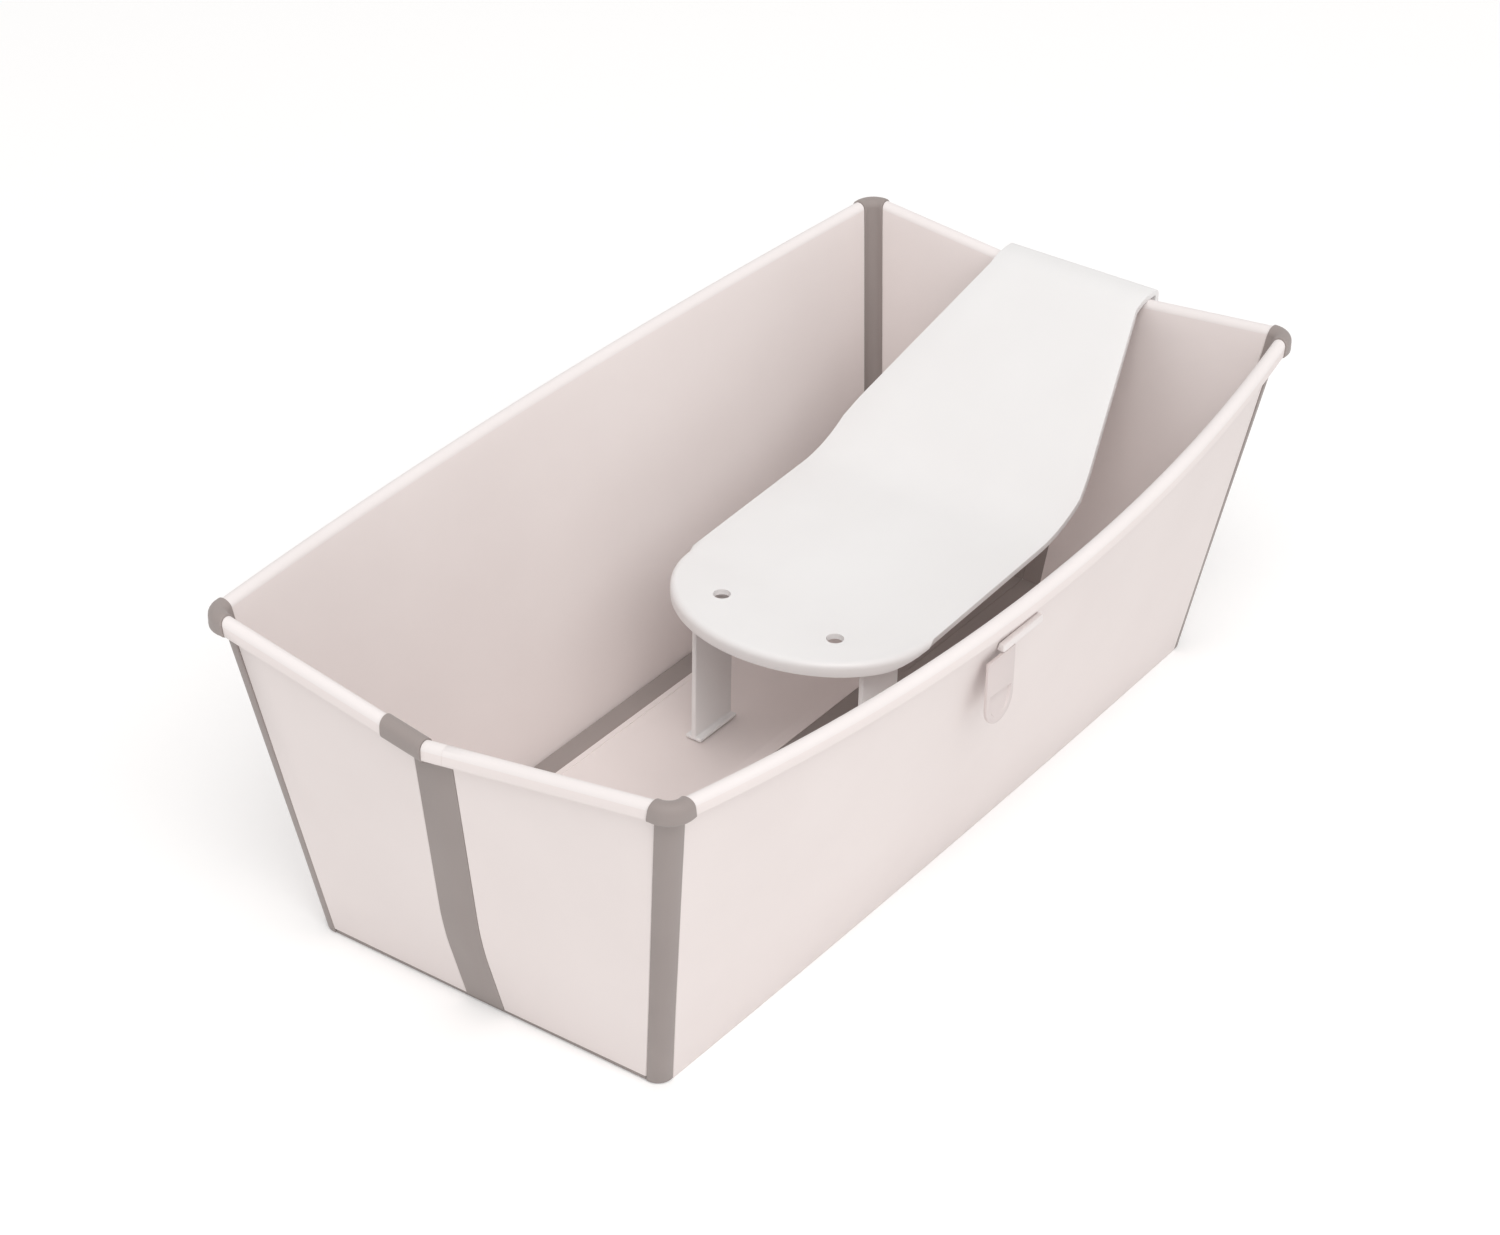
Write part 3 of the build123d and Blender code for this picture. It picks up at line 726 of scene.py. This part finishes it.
class BATHTUB_OT_end_strips(bpy.types.Operator):
    """Model the strips down the end walls and the caps over the middle of their rims"""

    bl_idname = "bathtub.end_strips"
    bl_label = "End Strips"

    def strip(self, lay, sign_x, marks):
        """A strip through given places across the end wall."""
        s = lay.s
        rings = []
        for y in marks:
            sign_y = 1 if y >= 0 else -1
            foot, top, belly = lay.end_line(abs(y), abs(y), sign_x, sign_y)
            out = (sign_x, 0, 0)
            rings.append(sheet_ring(lay, foot, top, out, s.panel_low, belly))
        rounds = {"belly_in": BELLY_ROUND, "belly_out": BELLY_ROUND}
        return loft(bmesh.new(), rings, rounds)

    def cap(self, lay, sign_x, gap):
        """A sleeve over the rim's end next to the middle."""
        s = lay.s
        rings = []
        for y in (gap, s.mid_cap_length / 2, s.mid_cap_length):
            foot, top, belly = lay.end_line(y, y, sign_x, 1)
            rings.append(rim_ring(lay, foot, top, (sign_x, 0, 0), s.cap_skin, belly))
        roll = (s.rim_width / 2 + s.cap_skin - TOUCH, ROLL_STEPS)
        rounds = {"top_in": roll, "top_out": roll, "lip_low": CAP_LIP_ROUND}
        return loft(bmesh.new(), rings, rounds)

    def execute(self, context):
        lay = Layout(context)
        s = lay.s
        edge = s.strip_half + s.gap - TOUCH
        marks = [edge - 2 * edge * i / STRIP_STEPS for i in range(STRIP_STEPS + 1)]
        front = self.strip(lay, -1, marks)
        obj = piece(lay, front, "fold_strip_front", "end_strip_front", "fold_strip")
        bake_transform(obj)
        for side, sign_y in SIDES.items():
            marks = [sign_y * y for y in (s.seat_gap, s.strip_half / 2, edge)]
            rear = self.strip(lay, 1, marks)
            name = "fold_strip_rear_" + side
            obj = piece(lay, rear, name, "end_strip_rear_" + side, "fold_strip")
            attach(obj, "rear_half_" + side)
        for end, gap in (("front", s.seat_gap), ("rear", s.open_gap)):
            cap = self.cap(lay, ENDS[end], gap)
            name = "rim_sleeve_" + end
            obj = piece(lay, cap, name, "rim_cap_" + end, "fold_strip")
            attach(obj, end + "_half_far")
        return {"FINISHED"}


def drawn(outline, reach):
    """A body drawn out from a flat outline."""
    bm = bmesh.new()
    face = bm.faces.new([bm.verts.new(place) for place in outline])
    made = bmesh.ops.extrude_face_region(bm, geom=[face])["geom"]
    verts = [v for v in made if isinstance(v, bmesh.types.BMVert)]
    bmesh.ops.translate(bm, verts=verts, vec=reach)
    face_out(bm)
    return bm


def plate(points, low, thick):
    """A level plate drawn up from its outline."""
    return drawn([(x, y, low) for x, y in points], (0, 0, thick))


def soften(bm, offset, segments):
    """Rounds every edge that turns by more than an angle."""
    face_out(bm)
    limit = math.radians(SQUARE_EDGE)
    edges = [e for e in bm.edges if len(e.link_faces) == 2 and e.calc_face_angle() > limit]
    rounded(bm, edges, offset, segments, clamp=True)


class BATHTUB_OT_floor(bpy.types.Operator):
    """Model the folding floor: two panels, their strips and the corner gussets"""

    bl_idname = "bathtub.floor"
    bl_label = "Folding Floor"

    def execute(self, context):
        lay = Layout(context)
        s = lay.s
        inner_y = s.base_half_width - s.wall - s.hinge_strip
        wall_y = s.base_half_width - s.wall
        slope = s.base_half_length - s.base_half_width - s.gusset_offset + s.wall
        strip_z = s.floor_low + s.gap

        def band(y0, y1, sign):
            return [
                (-slope - y0, sign * y0),
                (slope + y0, sign * y0),
                (slope + y1, sign * y1),
                (-slope - y1, sign * y1),
            ]

        for side, sign in SIDES.items():
            bm = plate(band(s.strip_half, inner_y, sign), s.floor_low, s.floor_sheet)
            top = max(bm.faces, key=lambda f: f.calc_center_median().z)
            bmesh.ops.inset_region(bm, faces=[top], thickness=PANEL_BORDER, depth=0)
            top = max(bm.faces, key=lambda f: (f.calc_center_median().z, f.calc_area()))
            bmesh.ops.inset_region(bm, faces=[top], thickness=GROOVE_WIDTH, depth=-GROOVE_DEPTH)
            if side == "near":
                bm = self.bored(lay, bm)
            name = "floor_half_" + side
            obj = piece(lay, bm, name, "floor_panel_" + side, "panel")
            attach(obj, "floor_" + side)
            middle = band(s.seat_gap, s.strip_half - s.seat_gap, sign)
            bm = plate(middle, strip_z, s.strip_sheet)
            name = "fold_strip_floor_" + side
            node = "floor_strip_" + side
            obj = piece(lay, bm, name, node, "fold_strip")
            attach(obj, "floor_" + side)
            y0, y1 = inner_y + s.gap, wall_y - s.seat_gap
            bm = self.side_strip(lay, slope, y0, y1, sign, strip_z)
            name = "fold_strip_side_" + side
            obj = piece(lay, bm, name, "side_strip_" + side, "fold_strip")
            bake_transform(obj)
            for end, sign_x in ENDS.items():
                self.gusset(lay, end, sign_x, side, sign, slope, wall_y)
        return {"FINISHED"}

    def side_strip(self, lay, slope, y0, y1, sign, low):
        """The strip between floor and long wall, bowed with the wall's foot."""
        s = lay.s
        rings = []
        for i in range(SIDE_STATIONS + 1):
            along = 2 * i / SIDE_STATIONS - 1
            share = along * (slope + y1) / (lay.foot_x - s.corner_leg)
            bow = s.side_foot_bow * (1 - share * share)
            line = []
            for k in range(SIDE_ROWS + 1):
                y = y1 + (y0 - y1) * k / SIDE_ROWS
                swell = bow * (1 - k / SIDE_ROWS)
                line.append((along * (slope + y), sign * (y + swell)))
            under = [(x, y, low) for x, y in line]
            over = [(x, y, low + s.strip_sheet) for x, y in reversed(line)]
            rings.append(dict(enumerate(under + over)))
        return loft(bmesh.new(), rings, {})

    def bored(self, lay, bm):
        """Cuts the drain's round hole through the floor panel."""
        s = lay.s
        place = (s.drain_x, s.drain_y, s.floor_low)
        face_out(bm)
        body = mesh_object("cut_body", bm)
        drill(body, place, s.drain_outer, BORE_SIDES)
        out = bmesh.new()
        out.from_mesh(body.data)
        bpy.data.objects.remove(body)
        return out

    def gusset(self, lay, end, sign_x, side, sign_y, slope, wall_y):
        """A flexible sheet between the floor's slanted end and an end wall half."""
        s = lay.s
        clear = GUSSET_CLEAR
        outer_x = s.base_half_length - clear
        inner_x = outer_x - s.wall
        leg_y = lay.foot_y - s.corner_leg - clear
        turn_y = wall_y - s.corner_round - clear
        side_y = wall_y - clear
        outline = [
            (slope + s.seat_gap + clear, s.seat_gap),
            (outer_x, s.seat_gap),
            (outer_x, leg_y),
            (inner_x, leg_y),
        ]
        turns = [math.pi / 2 * i / GUSSET_TURNS for i in range(GUSSET_TURNS + 1)]
        outline += [
            (inner_x - s.corner_round * (1 - math.cos(a)), turn_y + s.corner_round * math.sin(a))
            for a in turns
        ]
        outline.append((slope + side_y + clear, side_y))
        outline = [(sign_x * x, sign_y * y) for x, y in outline]
        bm = plate(outline, s.gusset_low, GUSSET_SHEET)
        name = end + "_" + side
        obj = piece(lay, bm, "gusset_sheet_" + name, "gusset_" + name, "fold_strip")
        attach(obj, end + "_half_" + side)
        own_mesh(obj)


def apply(obj):
    """Makes the mesh of an object what its modifiers make of it."""
    bpy.context.view_layer.update()
    done = bpy.data.meshes.new_from_object(
        obj.evaluated_get(bpy.context.evaluated_depsgraph_get())
    )
    obj.modifiers.clear()
    obj.data = done


def drill(obj, place, width, segments):
    """Cuts an upright round hole through an object."""
    cutter = bmesh.new()
    bmesh.ops.create_cone(
        cutter, cap_ends=True, segments=segments, radius1=width / 2, radius2=width / 2,
        depth=DRILL_DEPTH, matrix=Matrix.Translation(place),
    )
    tool = mesh_object("cut_tool", cutter)
    cut = obj.modifiers.new("hole", "BOOLEAN")
    cut.operation = "DIFFERENCE"
    cut.solver = "EXACT"
    cut.object = tool
    apply(obj)
    bpy.data.objects.remove(tool)


def turned(profile, centre):
    """A round form, spun from its half profile of radius and height."""
    bm = bmesh.new()
    verts = [bm.verts.new((centre[0] + r, centre[1], z)) for r, z in profile]
    edges = [bm.edges.new(pair) for pair in zip(verts, verts[1:])]
    bmesh.ops.spin(
        bm, geom=verts + edges, cent=(*centre, 0), axis=(0, 0, 1), angle=math.tau,
        steps=ROUND_STEPS, use_merge=True,
    )
    bmesh.ops.remove_doubles(bm, verts=bm.verts, dist=MERGE)
    face_out(bm)
    return bm


class BATHTUB_OT_drain(bpy.types.Operator):
    """Model the drain seat in the floor and its plug"""

    bl_idname = "bathtub.drain"
    bl_label = "Drain and Plug"

    def execute(self, context):
        lay = Layout(context)
        s = lay.s
        centre = (s.drain_x, s.drain_y)
        top = s.floor_low + s.floor_sheet
        bore, outer, wide = s.drain_bore / 2, s.drain_outer / 2, s.drain_flange / 2
        seat = turned(
            [
                (bore, s.floor_low),
                (outer - SEAT_FIT, s.floor_low),
                (outer - SEAT_FIT, top),
                (wide, top),
                (wide, top + FLANGE / 2),
                (wide - FLANGE_ROUND, top + FLANGE),
                (bore + FLANGE_ROUND, top + FLANGE),
                (bore, top + FLANGE / 2),
                (bore, s.floor_low),
            ],
            centre,
        )
        obj = piece(lay, seat, "drain_ring", "drain_seat", "fold_strip")
        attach(obj, "floor_near")
        head_low = top + FLANGE + PLUG_FIT
        head_top = head_low + PLUG_HIGH
        stem = bore - PLUG_FIT
        head = s.plug_head / 2
        profile = [
            (0.0, head_low - PLUG_DEEP),
            (stem - PLUG_ROUND, head_low - PLUG_DEEP),
            (stem, head_low - PLUG_DEEP + PLUG_ROUND),
            (stem, head_low),
            (head - PLUG_BEVEL, head_low),
            (head, head_low + PLUG_ROUND),
        ]
        profile += [(head - a, head_top - b) for a, b in PLUG_CROWN]
        plug = turned(profile + [(0.0, head_top)], centre)
        self.grip(s, plug, head_top)
        obj = piece(lay, plug, "plug_stopper", "drain_plug", "plug")
        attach(obj, "plug")
        return {"FINISHED"}

    def grip(self, s, plug, head_top):
        """Adds the rounded bar by which the plug is pulled."""
        low_x, high_x = s.drain_x - GRIP_LENGTH / 2, s.drain_x + GRIP_LENGTH / 2
        low_y, high_y = s.drain_y - GRIP_THICK / 2, s.drain_y + GRIP_THICK / 2
        outline = [(low_x, low_y), (high_x, low_y), (high_x, high_y), (low_x, high_y)]
        grip = plate(outline, head_top - GRIP_SUNK, GRIP_HIGH)
        ends = [e for e in crosswise(grip) if e.verts[0].co.z > head_top]
        rounded(grip, ends, *GRIP_ROUND)
        soften(grip, *GRIP_EDGE)
        mesh = bpy.data.meshes.new("grip")
        grip.to_mesh(mesh)
        grip.free()
        plug.from_mesh(mesh)
        bpy.data.meshes.remove(mesh)


def crosswise(bm):
    """The edges of a mesh that run across the tub."""
    return [e for e in bm.edges if abs((e.verts[0].co - e.verts[1].co).normalized().y) > ACROSS]


class BATHTUB_OT_latch(bpy.types.Operator):
    """Model the strap with its keeper and the catch on the other wall"""

    bl_idname = "bathtub.latch"
    bl_label = "Closing Strap"

    def execute(self, context):
        lay = Layout(context)
        s = lay.s
        low = s.rim_height - s.side_dip - s.keeper_drop
        high = low + s.keeper_height
        reach = lay.wall_face(low) + s.keeper_proud
        for side, sign in SIDES.items():
            shape = [
                (lay.wall_face(low) + s.seat_gap, low),
                (reach, low),
                (reach, high),
                (lay.wall_face(high) + s.seat_gap, high),
            ]
            if side == "far":
                inner = reach - s.catch_sheet
                lip = low - s.catch_lip
                shape[1:2] = [(inner, low), (inner, lip), (reach, lip)]
            rings = [
                {i: (s.latch_x + x, sign * y, z) for i, (y, z) in enumerate(shape)}
                for x in (-s.keeper_length / 2, s.keeper_length / 2)
            ]
            bm = loft(bmesh.new(), rings, {})
            soften(bm, *KEEPER_ROUND)
            name = "catch" if side == "far" else "keeper"
            # The bars take the rims' lighter material as a painted highlight.
            obj = piece(lay, bm, name + "_bar", "strap_" + name, "strap", ("rim",))
            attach(obj, "side_" + side)
        self.strap(lay, low, reach)
        return {"FINISHED"}

    def strap(self, lay, keeper_low, reach):
        """The strap's tab, round at its end, with a scoop for a finger."""
        s = lay.s
        half = s.strap_width / 2
        x = s.latch_x - s.strap_offset
        top = keeper_low - STRAP_CLEAR
        low = keeper_low - s.strap_drop
        out = -(reach - s.gap)
        inner = out + s.strap_sheet
        outline = [(x - half, low), (x + half, low), (x + half, top), (x - half, top)]
        bm = drawn([(a, inner, b) for a, b in outline], (0, out - inner, 0))
        foot = [e for e in crosswise(bm) if e.verts[0].co.z < low + half / 2]
        rounded(bm, foot, half - STRAP_FLAT, STRAP_TURNS)
        front = min(bm.faces, key=lambda f: f.calc_center_median().y)
        bmesh.ops.bisect_plane(
            bm, geom=[front, *front.edges, *front.verts],
            plane_co=(0, 0, low + SCOOP_BORDER + s.scoop_height), plane_no=(0, 0, 1),
        )
        middle = out + s.strap_sheet / 2
        fronts = [f for f in bm.faces if abs(f.normal.y) > ACROSS]
        fronts = [f for f in fronts if f.calc_center_median().y < middle]
        scoop = min(fronts, key=lambda f: f.calc_center_median().z)
        bmesh.ops.inset_region(bm, faces=[scoop], thickness=SCOOP_BORDER, depth=0)
        bmesh.ops.inset_region(bm, faces=[scoop], thickness=SCOOP_SLOPE, depth=-s.scoop_depth)
        for vert in scoop.verts:
            rise = (vert.co.z - low) / s.scoop_height
            vert.co.y += s.scoop_depth * (rise - SCOOP_TURN)
        soften(bm, *STRAP_ROUND)
        obj = piece(lay, bm, "strap_tab", "closing_strap", "strap")
        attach(obj, "strap")


def bent_path(lay):
    """The support's upper face from the hook's end to the nose, as X and Z."""
    s = lay.s
    share = 1 - s.hook_half_width / lay.top_y
    under = s.rim_height - s.end_dip * share + HOOK_CLEAR
    top = under + s.support_sheet
    inner_x = s.rim_half_length + BACK_CLEAR
    rim_out = s.rim_half_length + s.end_bow + s.rim_width + s.cap_skin
    outer = rim_out + HOOK_SLACK + s.support_sheet
    path = [(outer, under - HOOK_REACH + down) for down in HOOK_ROWS]
    for i in range(HOOK_TURNS + 1):
        a = math.pi / 2 * i / HOOK_TURNS
        turn_x = outer - HOOK_TURN + HOOK_TURN * math.cos(a)
        path.append((turn_x, top - HOOK_TURN + HOOK_TURN * math.sin(a)))
    back_x, back_z = inner_x - BACK_START, under - BACK_SINK + s.support_sheet
    low_x = back_x - BACK_LENGTH
    low_z = under - BACK_SINK - BACK_FALL
    level_x = inner_x + SHOULDER_START
    bend_x = inner_x - SHOULDER_BEND
    path += curve((level_x, top), (bend_x, top), (back_x, back_z), SHOULDER_STEPS)
    slope = math.atan2(back_z - s.support_sheet - low_z, back_x - low_x)
    nose_z = low_z - SEAT_FALL
    nose_x = low_x - SEAT_LENGTH + s.seat_nose
    level = math.atan2(low_z - nose_z, low_x - nose_x)
    high = (low_x + SEAT_BEND * math.cos(slope), low_z + SEAT_BEND * math.sin(slope))
    flat = (low_x - SEAT_BEND * math.cos(level), low_z - SEAT_BEND * math.sin(level))
    path += between((back_x, back_z), high, BACK_STEPS)
    path += curve(high, (low_x, low_z), flat, BEND_STEPS)
    path += between(flat, (nose_x, nose_z), SEAT_STEPS)
    path.append((nose_x, nose_z))
    return path, nose_x, nose_z


def between(a, b, steps):
    """Points on the straight line between two others."""
    shares = [k / steps for k in range(1, steps)]
    return [tuple(a[i] + (b[i] - a[i]) * share for i in range(2)) for share in shares]


def curve(a, b, c, steps):
    """Points of a bend from a to c that leans towards b."""
    out = []
    for i in range(steps + 1):
        t = i / steps
        shares = ((1 - t) ** 2, 2 * t * (1 - t), t * t)
        point = [sum(p[k] * w for p, w in zip((a, b, c), shares)) for k in range(2)]
        out.append(tuple(point))
    return out


class BATHTUB_OT_support(bpy.types.Operator):
    """Model the reclining newborn support and its two feet"""

    bl_idname = "bathtub.support"
    bl_label = "Newborn Support"

    def half_width(self, s, x, rise, marks):
        """Half the support's width at a place along it; the hook's end is rounded."""
        top_x, shoulder_x = marks
        if x >= top_x:
            short = max(0.0, s.hook_round - rise)
            rounding = math.sqrt(s.hook_round**2 - short**2)
            return s.hook_half_width - s.hook_round + rounding
        if x <= shoulder_x:
            return s.seat_half_width
        t = (top_x - x) / (top_x - shoulder_x)
        return s.hook_half_width + (s.seat_half_width - s.hook_half_width) * t

    def execute(self, context):
        lay = Layout(context)
        s = lay.s
        path, nose_x, nose_z = bent_path(lay)
        back_x = s.rim_half_length + BACK_CLEAR - BACK_START
        marks = (back_x, back_x - BACK_LENGTH + SEAT_BEND)
        bm = bmesh.new()
        row = []
        end_x, end_z = path[0]
        for x, z in path:
            rise = z - end_z + (end_x - x)
            half = self.half_width(s, x, rise, marks)
            line = [
                bm.verts.new((x, half * (1 - 2 * i / SHEET_COLUMNS), z))
                for i in range(SHEET_COLUMNS + 1)
            ]
            edges = [bm.edges.new(pair) for pair in zip(line, line[1:])]
            if row:
                bmesh.ops.bridge_loops(bm, edges=row + edges)
            row = edges
        self.nose(bm, s, row, nose_x, nose_z)
        bmesh.ops.remove_doubles(bm, verts=bm.verts, dist=MERGE)
        face_out(bm)
        up = sum(f.normal.z * f.calc_area() for f in bm.faces)
        if up < 0:
            bmesh.ops.reverse_faces(bm, faces=bm.faces)
        name, node = "support_shell_body", "support_shell"
        obj = piece(lay, bm, name, node, "support", sharp=SHEET_SHARP)
        thick = obj.modifiers.new("sheet", "SOLIDIFY")
        thick.thickness = s.support_sheet
        thick.offset = -1.0
        thick.use_even_offset = True
        edge = obj.modifiers.new("edge", "BEVEL")
        edge.width, edge.segments = SHEET_ROUND
        edge.limit_method = "ANGLE"
        edge.angle_limit = math.radians(SHEET_EDGE)
        apply(obj)
        hole_x = nose_x - s.seat_nose + HOLE_SETBACK + lay.shift
        hole_y = s.seat_half_width - HOLE_INSET
        for sign in SIDES.values():
            drill(obj, (hole_x, sign * hole_y, nose_z), s.support_hole, HOLE_SIDES)
        obj.data.shade_smooth()
        obj.data.set_sharp_from_angle(angle=math.radians(SHEET_SHARP))
        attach(obj, "support")
        self.feet(lay, nose_x, nose_z)
        return {"FINISHED"}

    def nose(self, bm, s, row, nose_x, nose_z):
        """The round nose, with its lip turned down all round it."""
        rim = []
        for i in range(NOSE_STEPS + 1):
            a = math.pi / 2 + math.pi * i / NOSE_STEPS
            ahead = s.seat_nose * math.cos(a)
            rim.append((nose_x + ahead, s.seat_half_width * math.sin(a)))
        chord = {v for e in row for v in e.verts}
        chord = sorted(chord, key=lambda v: v.co.y)
        arc = [bm.verts.new((x, y, nose_z)) for x, y in rim[1:-1]]
        bm.faces.new(chord + arc)
        ring = [chord[-1]] + arc + [chord[0]]
        edges = [bm.edges.get(pair) for pair in zip(ring, ring[1:])]
        made = bmesh.ops.extrude_edge_only(bm, edges=edges)["geom"]
        verts = [v for v in made if isinstance(v, bmesh.types.BMVert)]
        bmesh.ops.translate(bm, verts=verts, vec=(0, 0, -s.lip_drop))
        rounded(bm, edges, LIP_ROLL, LIP_STEPS, clamp=True)
        for vert in bm.verts:
            depth = nose_z - vert.co.z
            if vert.co.x <= nose_x + OVERLAP and depth > s.lip_drop - OVERLAP:
                ahead = (nose_x - vert.co.x) / s.seat_nose
                share = min(1.0, max(0.0, ahead / LIP_TAPER))
                ease = share * share * (3 - 2 * share)
                rolled = LIP_ROLL + OVERLAP
                vert.co.z = nose_z - rolled - (depth - rolled) * ease

    def feet(self, lay, nose_x, nose_z):
        """The two leg plates under the seat."""
        s = lay.s
        x0 = nose_x - s.seat_nose + LEG_SETBACK
        x1 = x0 + LEG_LENGTH
        low = s.floor_low + s.floor_sheet + LEG_CLEAR
        step = low + LEG_FOOT_HIGH
        top = nose_z - s.support_sheet - LEG_TOP_CLEAR
        half, wide = LEG_HALF, LEG_FOOT_HALF
        shape = [
            (-wide, low), (wide, low), (wide, step), (half, step),
            (half, top), (-half, top), (-half, step), (-wide, step),
        ]
        for side, sign in SIDES.items():
            y = sign * (s.seat_half_width - LEG_INSET)
            rings = [{i: (x, y + a, b) for i, (a, b) in enumerate(shape)} for x in (x0, x1)]
            bm = loft(bmesh.new(), rings, {})
            soften(bm, *LEG_ROUND)
            name = "support_leg_" + side
            obj = piece(lay, bm, name, "support_foot_" + side, "support")
            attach(obj, "support")


class BATHTUB_OT_stage(bpy.types.Operator):
    """Set the ground, the soft lamps and the camera"""

    bl_idname = "bathtub.stage"
    bl_label = "Studio Stage"

    def execute(self, context):
        lay = Layout(context)
        scene = context.scene
        scene.view_settings.view_transform = "Standard"
        self.ground(lay.colours)
        self.world(scene)
        for name, place, width, power in LAMPS:
            self.lamp(name, place, width, power)
        self.camera(scene, lay)
        return {"FINISHED"}

    def ground(self, colours):
        """A wide pale ground that takes the shadow."""
        bm = bmesh.new()
        bmesh.ops.create_grid(bm, x_segments=1, y_segments=1, size=GROUND_HALF)
        obj = mesh_object("ground", bm)
        material, nodes, links, surface, _ = shader(
            "ground_pale", tuple(colours.floor), GROUND_ROUGHNESS
        )
        glow = nodes.new("ShaderNodeLightPath")
        surface.inputs["Emission Color"].default_value = (1, 1, 1, 1)
        scale = nodes.new("ShaderNodeMath")
        scale.operation = "MULTIPLY"
        scale.inputs[1].default_value = GROUND_GLOW
        links.new(glow.outputs["Is Camera Ray"], scale.inputs[0])
        links.new(scale.outputs["Value"], surface.inputs["Emission Strength"])
        obj.data.materials.append(material)

    def world(self, scene):
        """An even white surround."""
        world = bpy.data.worlds.new("surround")
        scene.world = world
        world.use_nodes = True
        nodes, links = world.node_tree.nodes, world.node_tree.links
        back = nodes["Background"]
        back.inputs["Color"].default_value = WORLD_COLOUR
        path = nodes.new("ShaderNodeLightPath")
        span = add(nodes, "MapRange", To_Min=WORLD_LIGHT, To_Max=1.0)
        links.new(path.outputs["Is Camera Ray"], span.inputs["Value"])
        links.new(span.outputs["Result"], back.inputs["Strength"])

    def lamp(self, name, place, width, power):
        """A large soft lamp that faces the tub."""
        light = bpy.data.lights.new(name, "AREA")
        light.shape = "DISK"
        light.size = width
        light.energy = power
        light.color = LAMP_COLOUR
        obj = bpy.data.objects.new(name, light)
        bpy.context.scene.collection.objects.link(obj)
        back = (Vector(place) - Vector(LAMP_TARGET)).normalized()
        obj.matrix_world = Matrix.Translation(place) @ back.to_track_quat(
            "Z", "Y"
        ).to_matrix().to_4x4()

    def camera(self, scene, lay):
        """The camera at the photograph's viewing angle."""
        azimuth, elevation, roll = (math.radians(a) for a in CAMERA_ANGLES)
        x, y, z = CAMERA_PLACE
        place = Vector((x + lay.shift, y, z))
        back = Vector(
            (
                math.sin(azimuth) * math.cos(elevation),
                -math.cos(azimuth) * math.cos(elevation),
                math.sin(elevation),
            )
        )
        right = Vector((math.cos(azimuth), math.sin(azimuth), 0))
        up = back.cross(right)
        level = right * math.cos(roll) + up * math.sin(roll)
        plumb = up * math.cos(roll) - right * math.sin(roll)
        turn = Matrix((level, plumb, back)).transposed().to_4x4()
        data = bpy.data.cameras.new("photo_view")
        data.sensor_width = SENSOR_WIDTH
        data.lens = SENSOR_WIDTH * FOCAL_PIXELS / PHOTO_WIDTH
        data.clip_end = FAR_CLIP
        obj = bpy.data.objects.new("photo_view", data)
        scene.collection.objects.link(obj)
        obj.matrix_world = Matrix.Translation(place) @ turn
        scene.camera = obj


STEPS = (
    BATHTUB_OT_long_walls,
    BATHTUB_OT_end_walls,
    BATHTUB_OT_corner_strips,
    BATHTUB_OT_end_strips,
    BATHTUB_OT_floor,
    BATHTUB_OT_drain,
    BATHTUB_OT_latch,
    BATHTUB_OT_support,
    BATHTUB_OT_stage,
)


class BATHTUB_PT_pieces(bpy.types.Panel):
    """Lists the tub's sizes, colours and pieces"""

    bl_idname = "BATHTUB_PT_pieces"
    bl_label = "Folding Bathtub"
    bl_space_type = "VIEW_3D"
    bl_region_type = "UI"
    bl_category = "Bathtub"

    def draw(self, context):
        for step in STEPS:
            self.layout.operator(step.bl_idname)
        for group in (context.scene.bathtub_sizes, context.scene.bathtub_colours):
            column = self.layout.column()
            for name in group.__annotations__:
                column.prop(group, name)


CLASSES = (BathtubSizes, BathtubColours, *STEPS, BATHTUB_PT_pieces)


def register():
    """Adds the classes, and the sizes and colours to the scene."""
    for cls in CLASSES:
        bpy.utils.register_class(cls)
    bpy.types.Scene.bathtub_sizes = bpy.props.PointerProperty(type=BathtubSizes)
    bpy.types.Scene.bathtub_colours = bpy.props.PointerProperty(type=BathtubColours)


def unregister():
    """Takes away all that register adds."""
    del bpy.types.Scene.bathtub_colours
    del bpy.types.Scene.bathtub_sizes
    for cls in reversed(CLASSES):
        bpy.utils.unregister_class(cls)


def main():
    """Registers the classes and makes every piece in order."""
    register()
    bpy.ops.bathtub.long_walls()
    bpy.ops.bathtub.end_walls()
    bpy.ops.bathtub.corner_strips()
    bpy.ops.bathtub.end_strips()
    bpy.ops.bathtub.floor()
    bpy.ops.bathtub.drain()
    bpy.ops.bathtub.latch()
    bpy.ops.bathtub.support()
    bpy.ops.bathtub.stage()


if __name__ == "__main__":
    main()
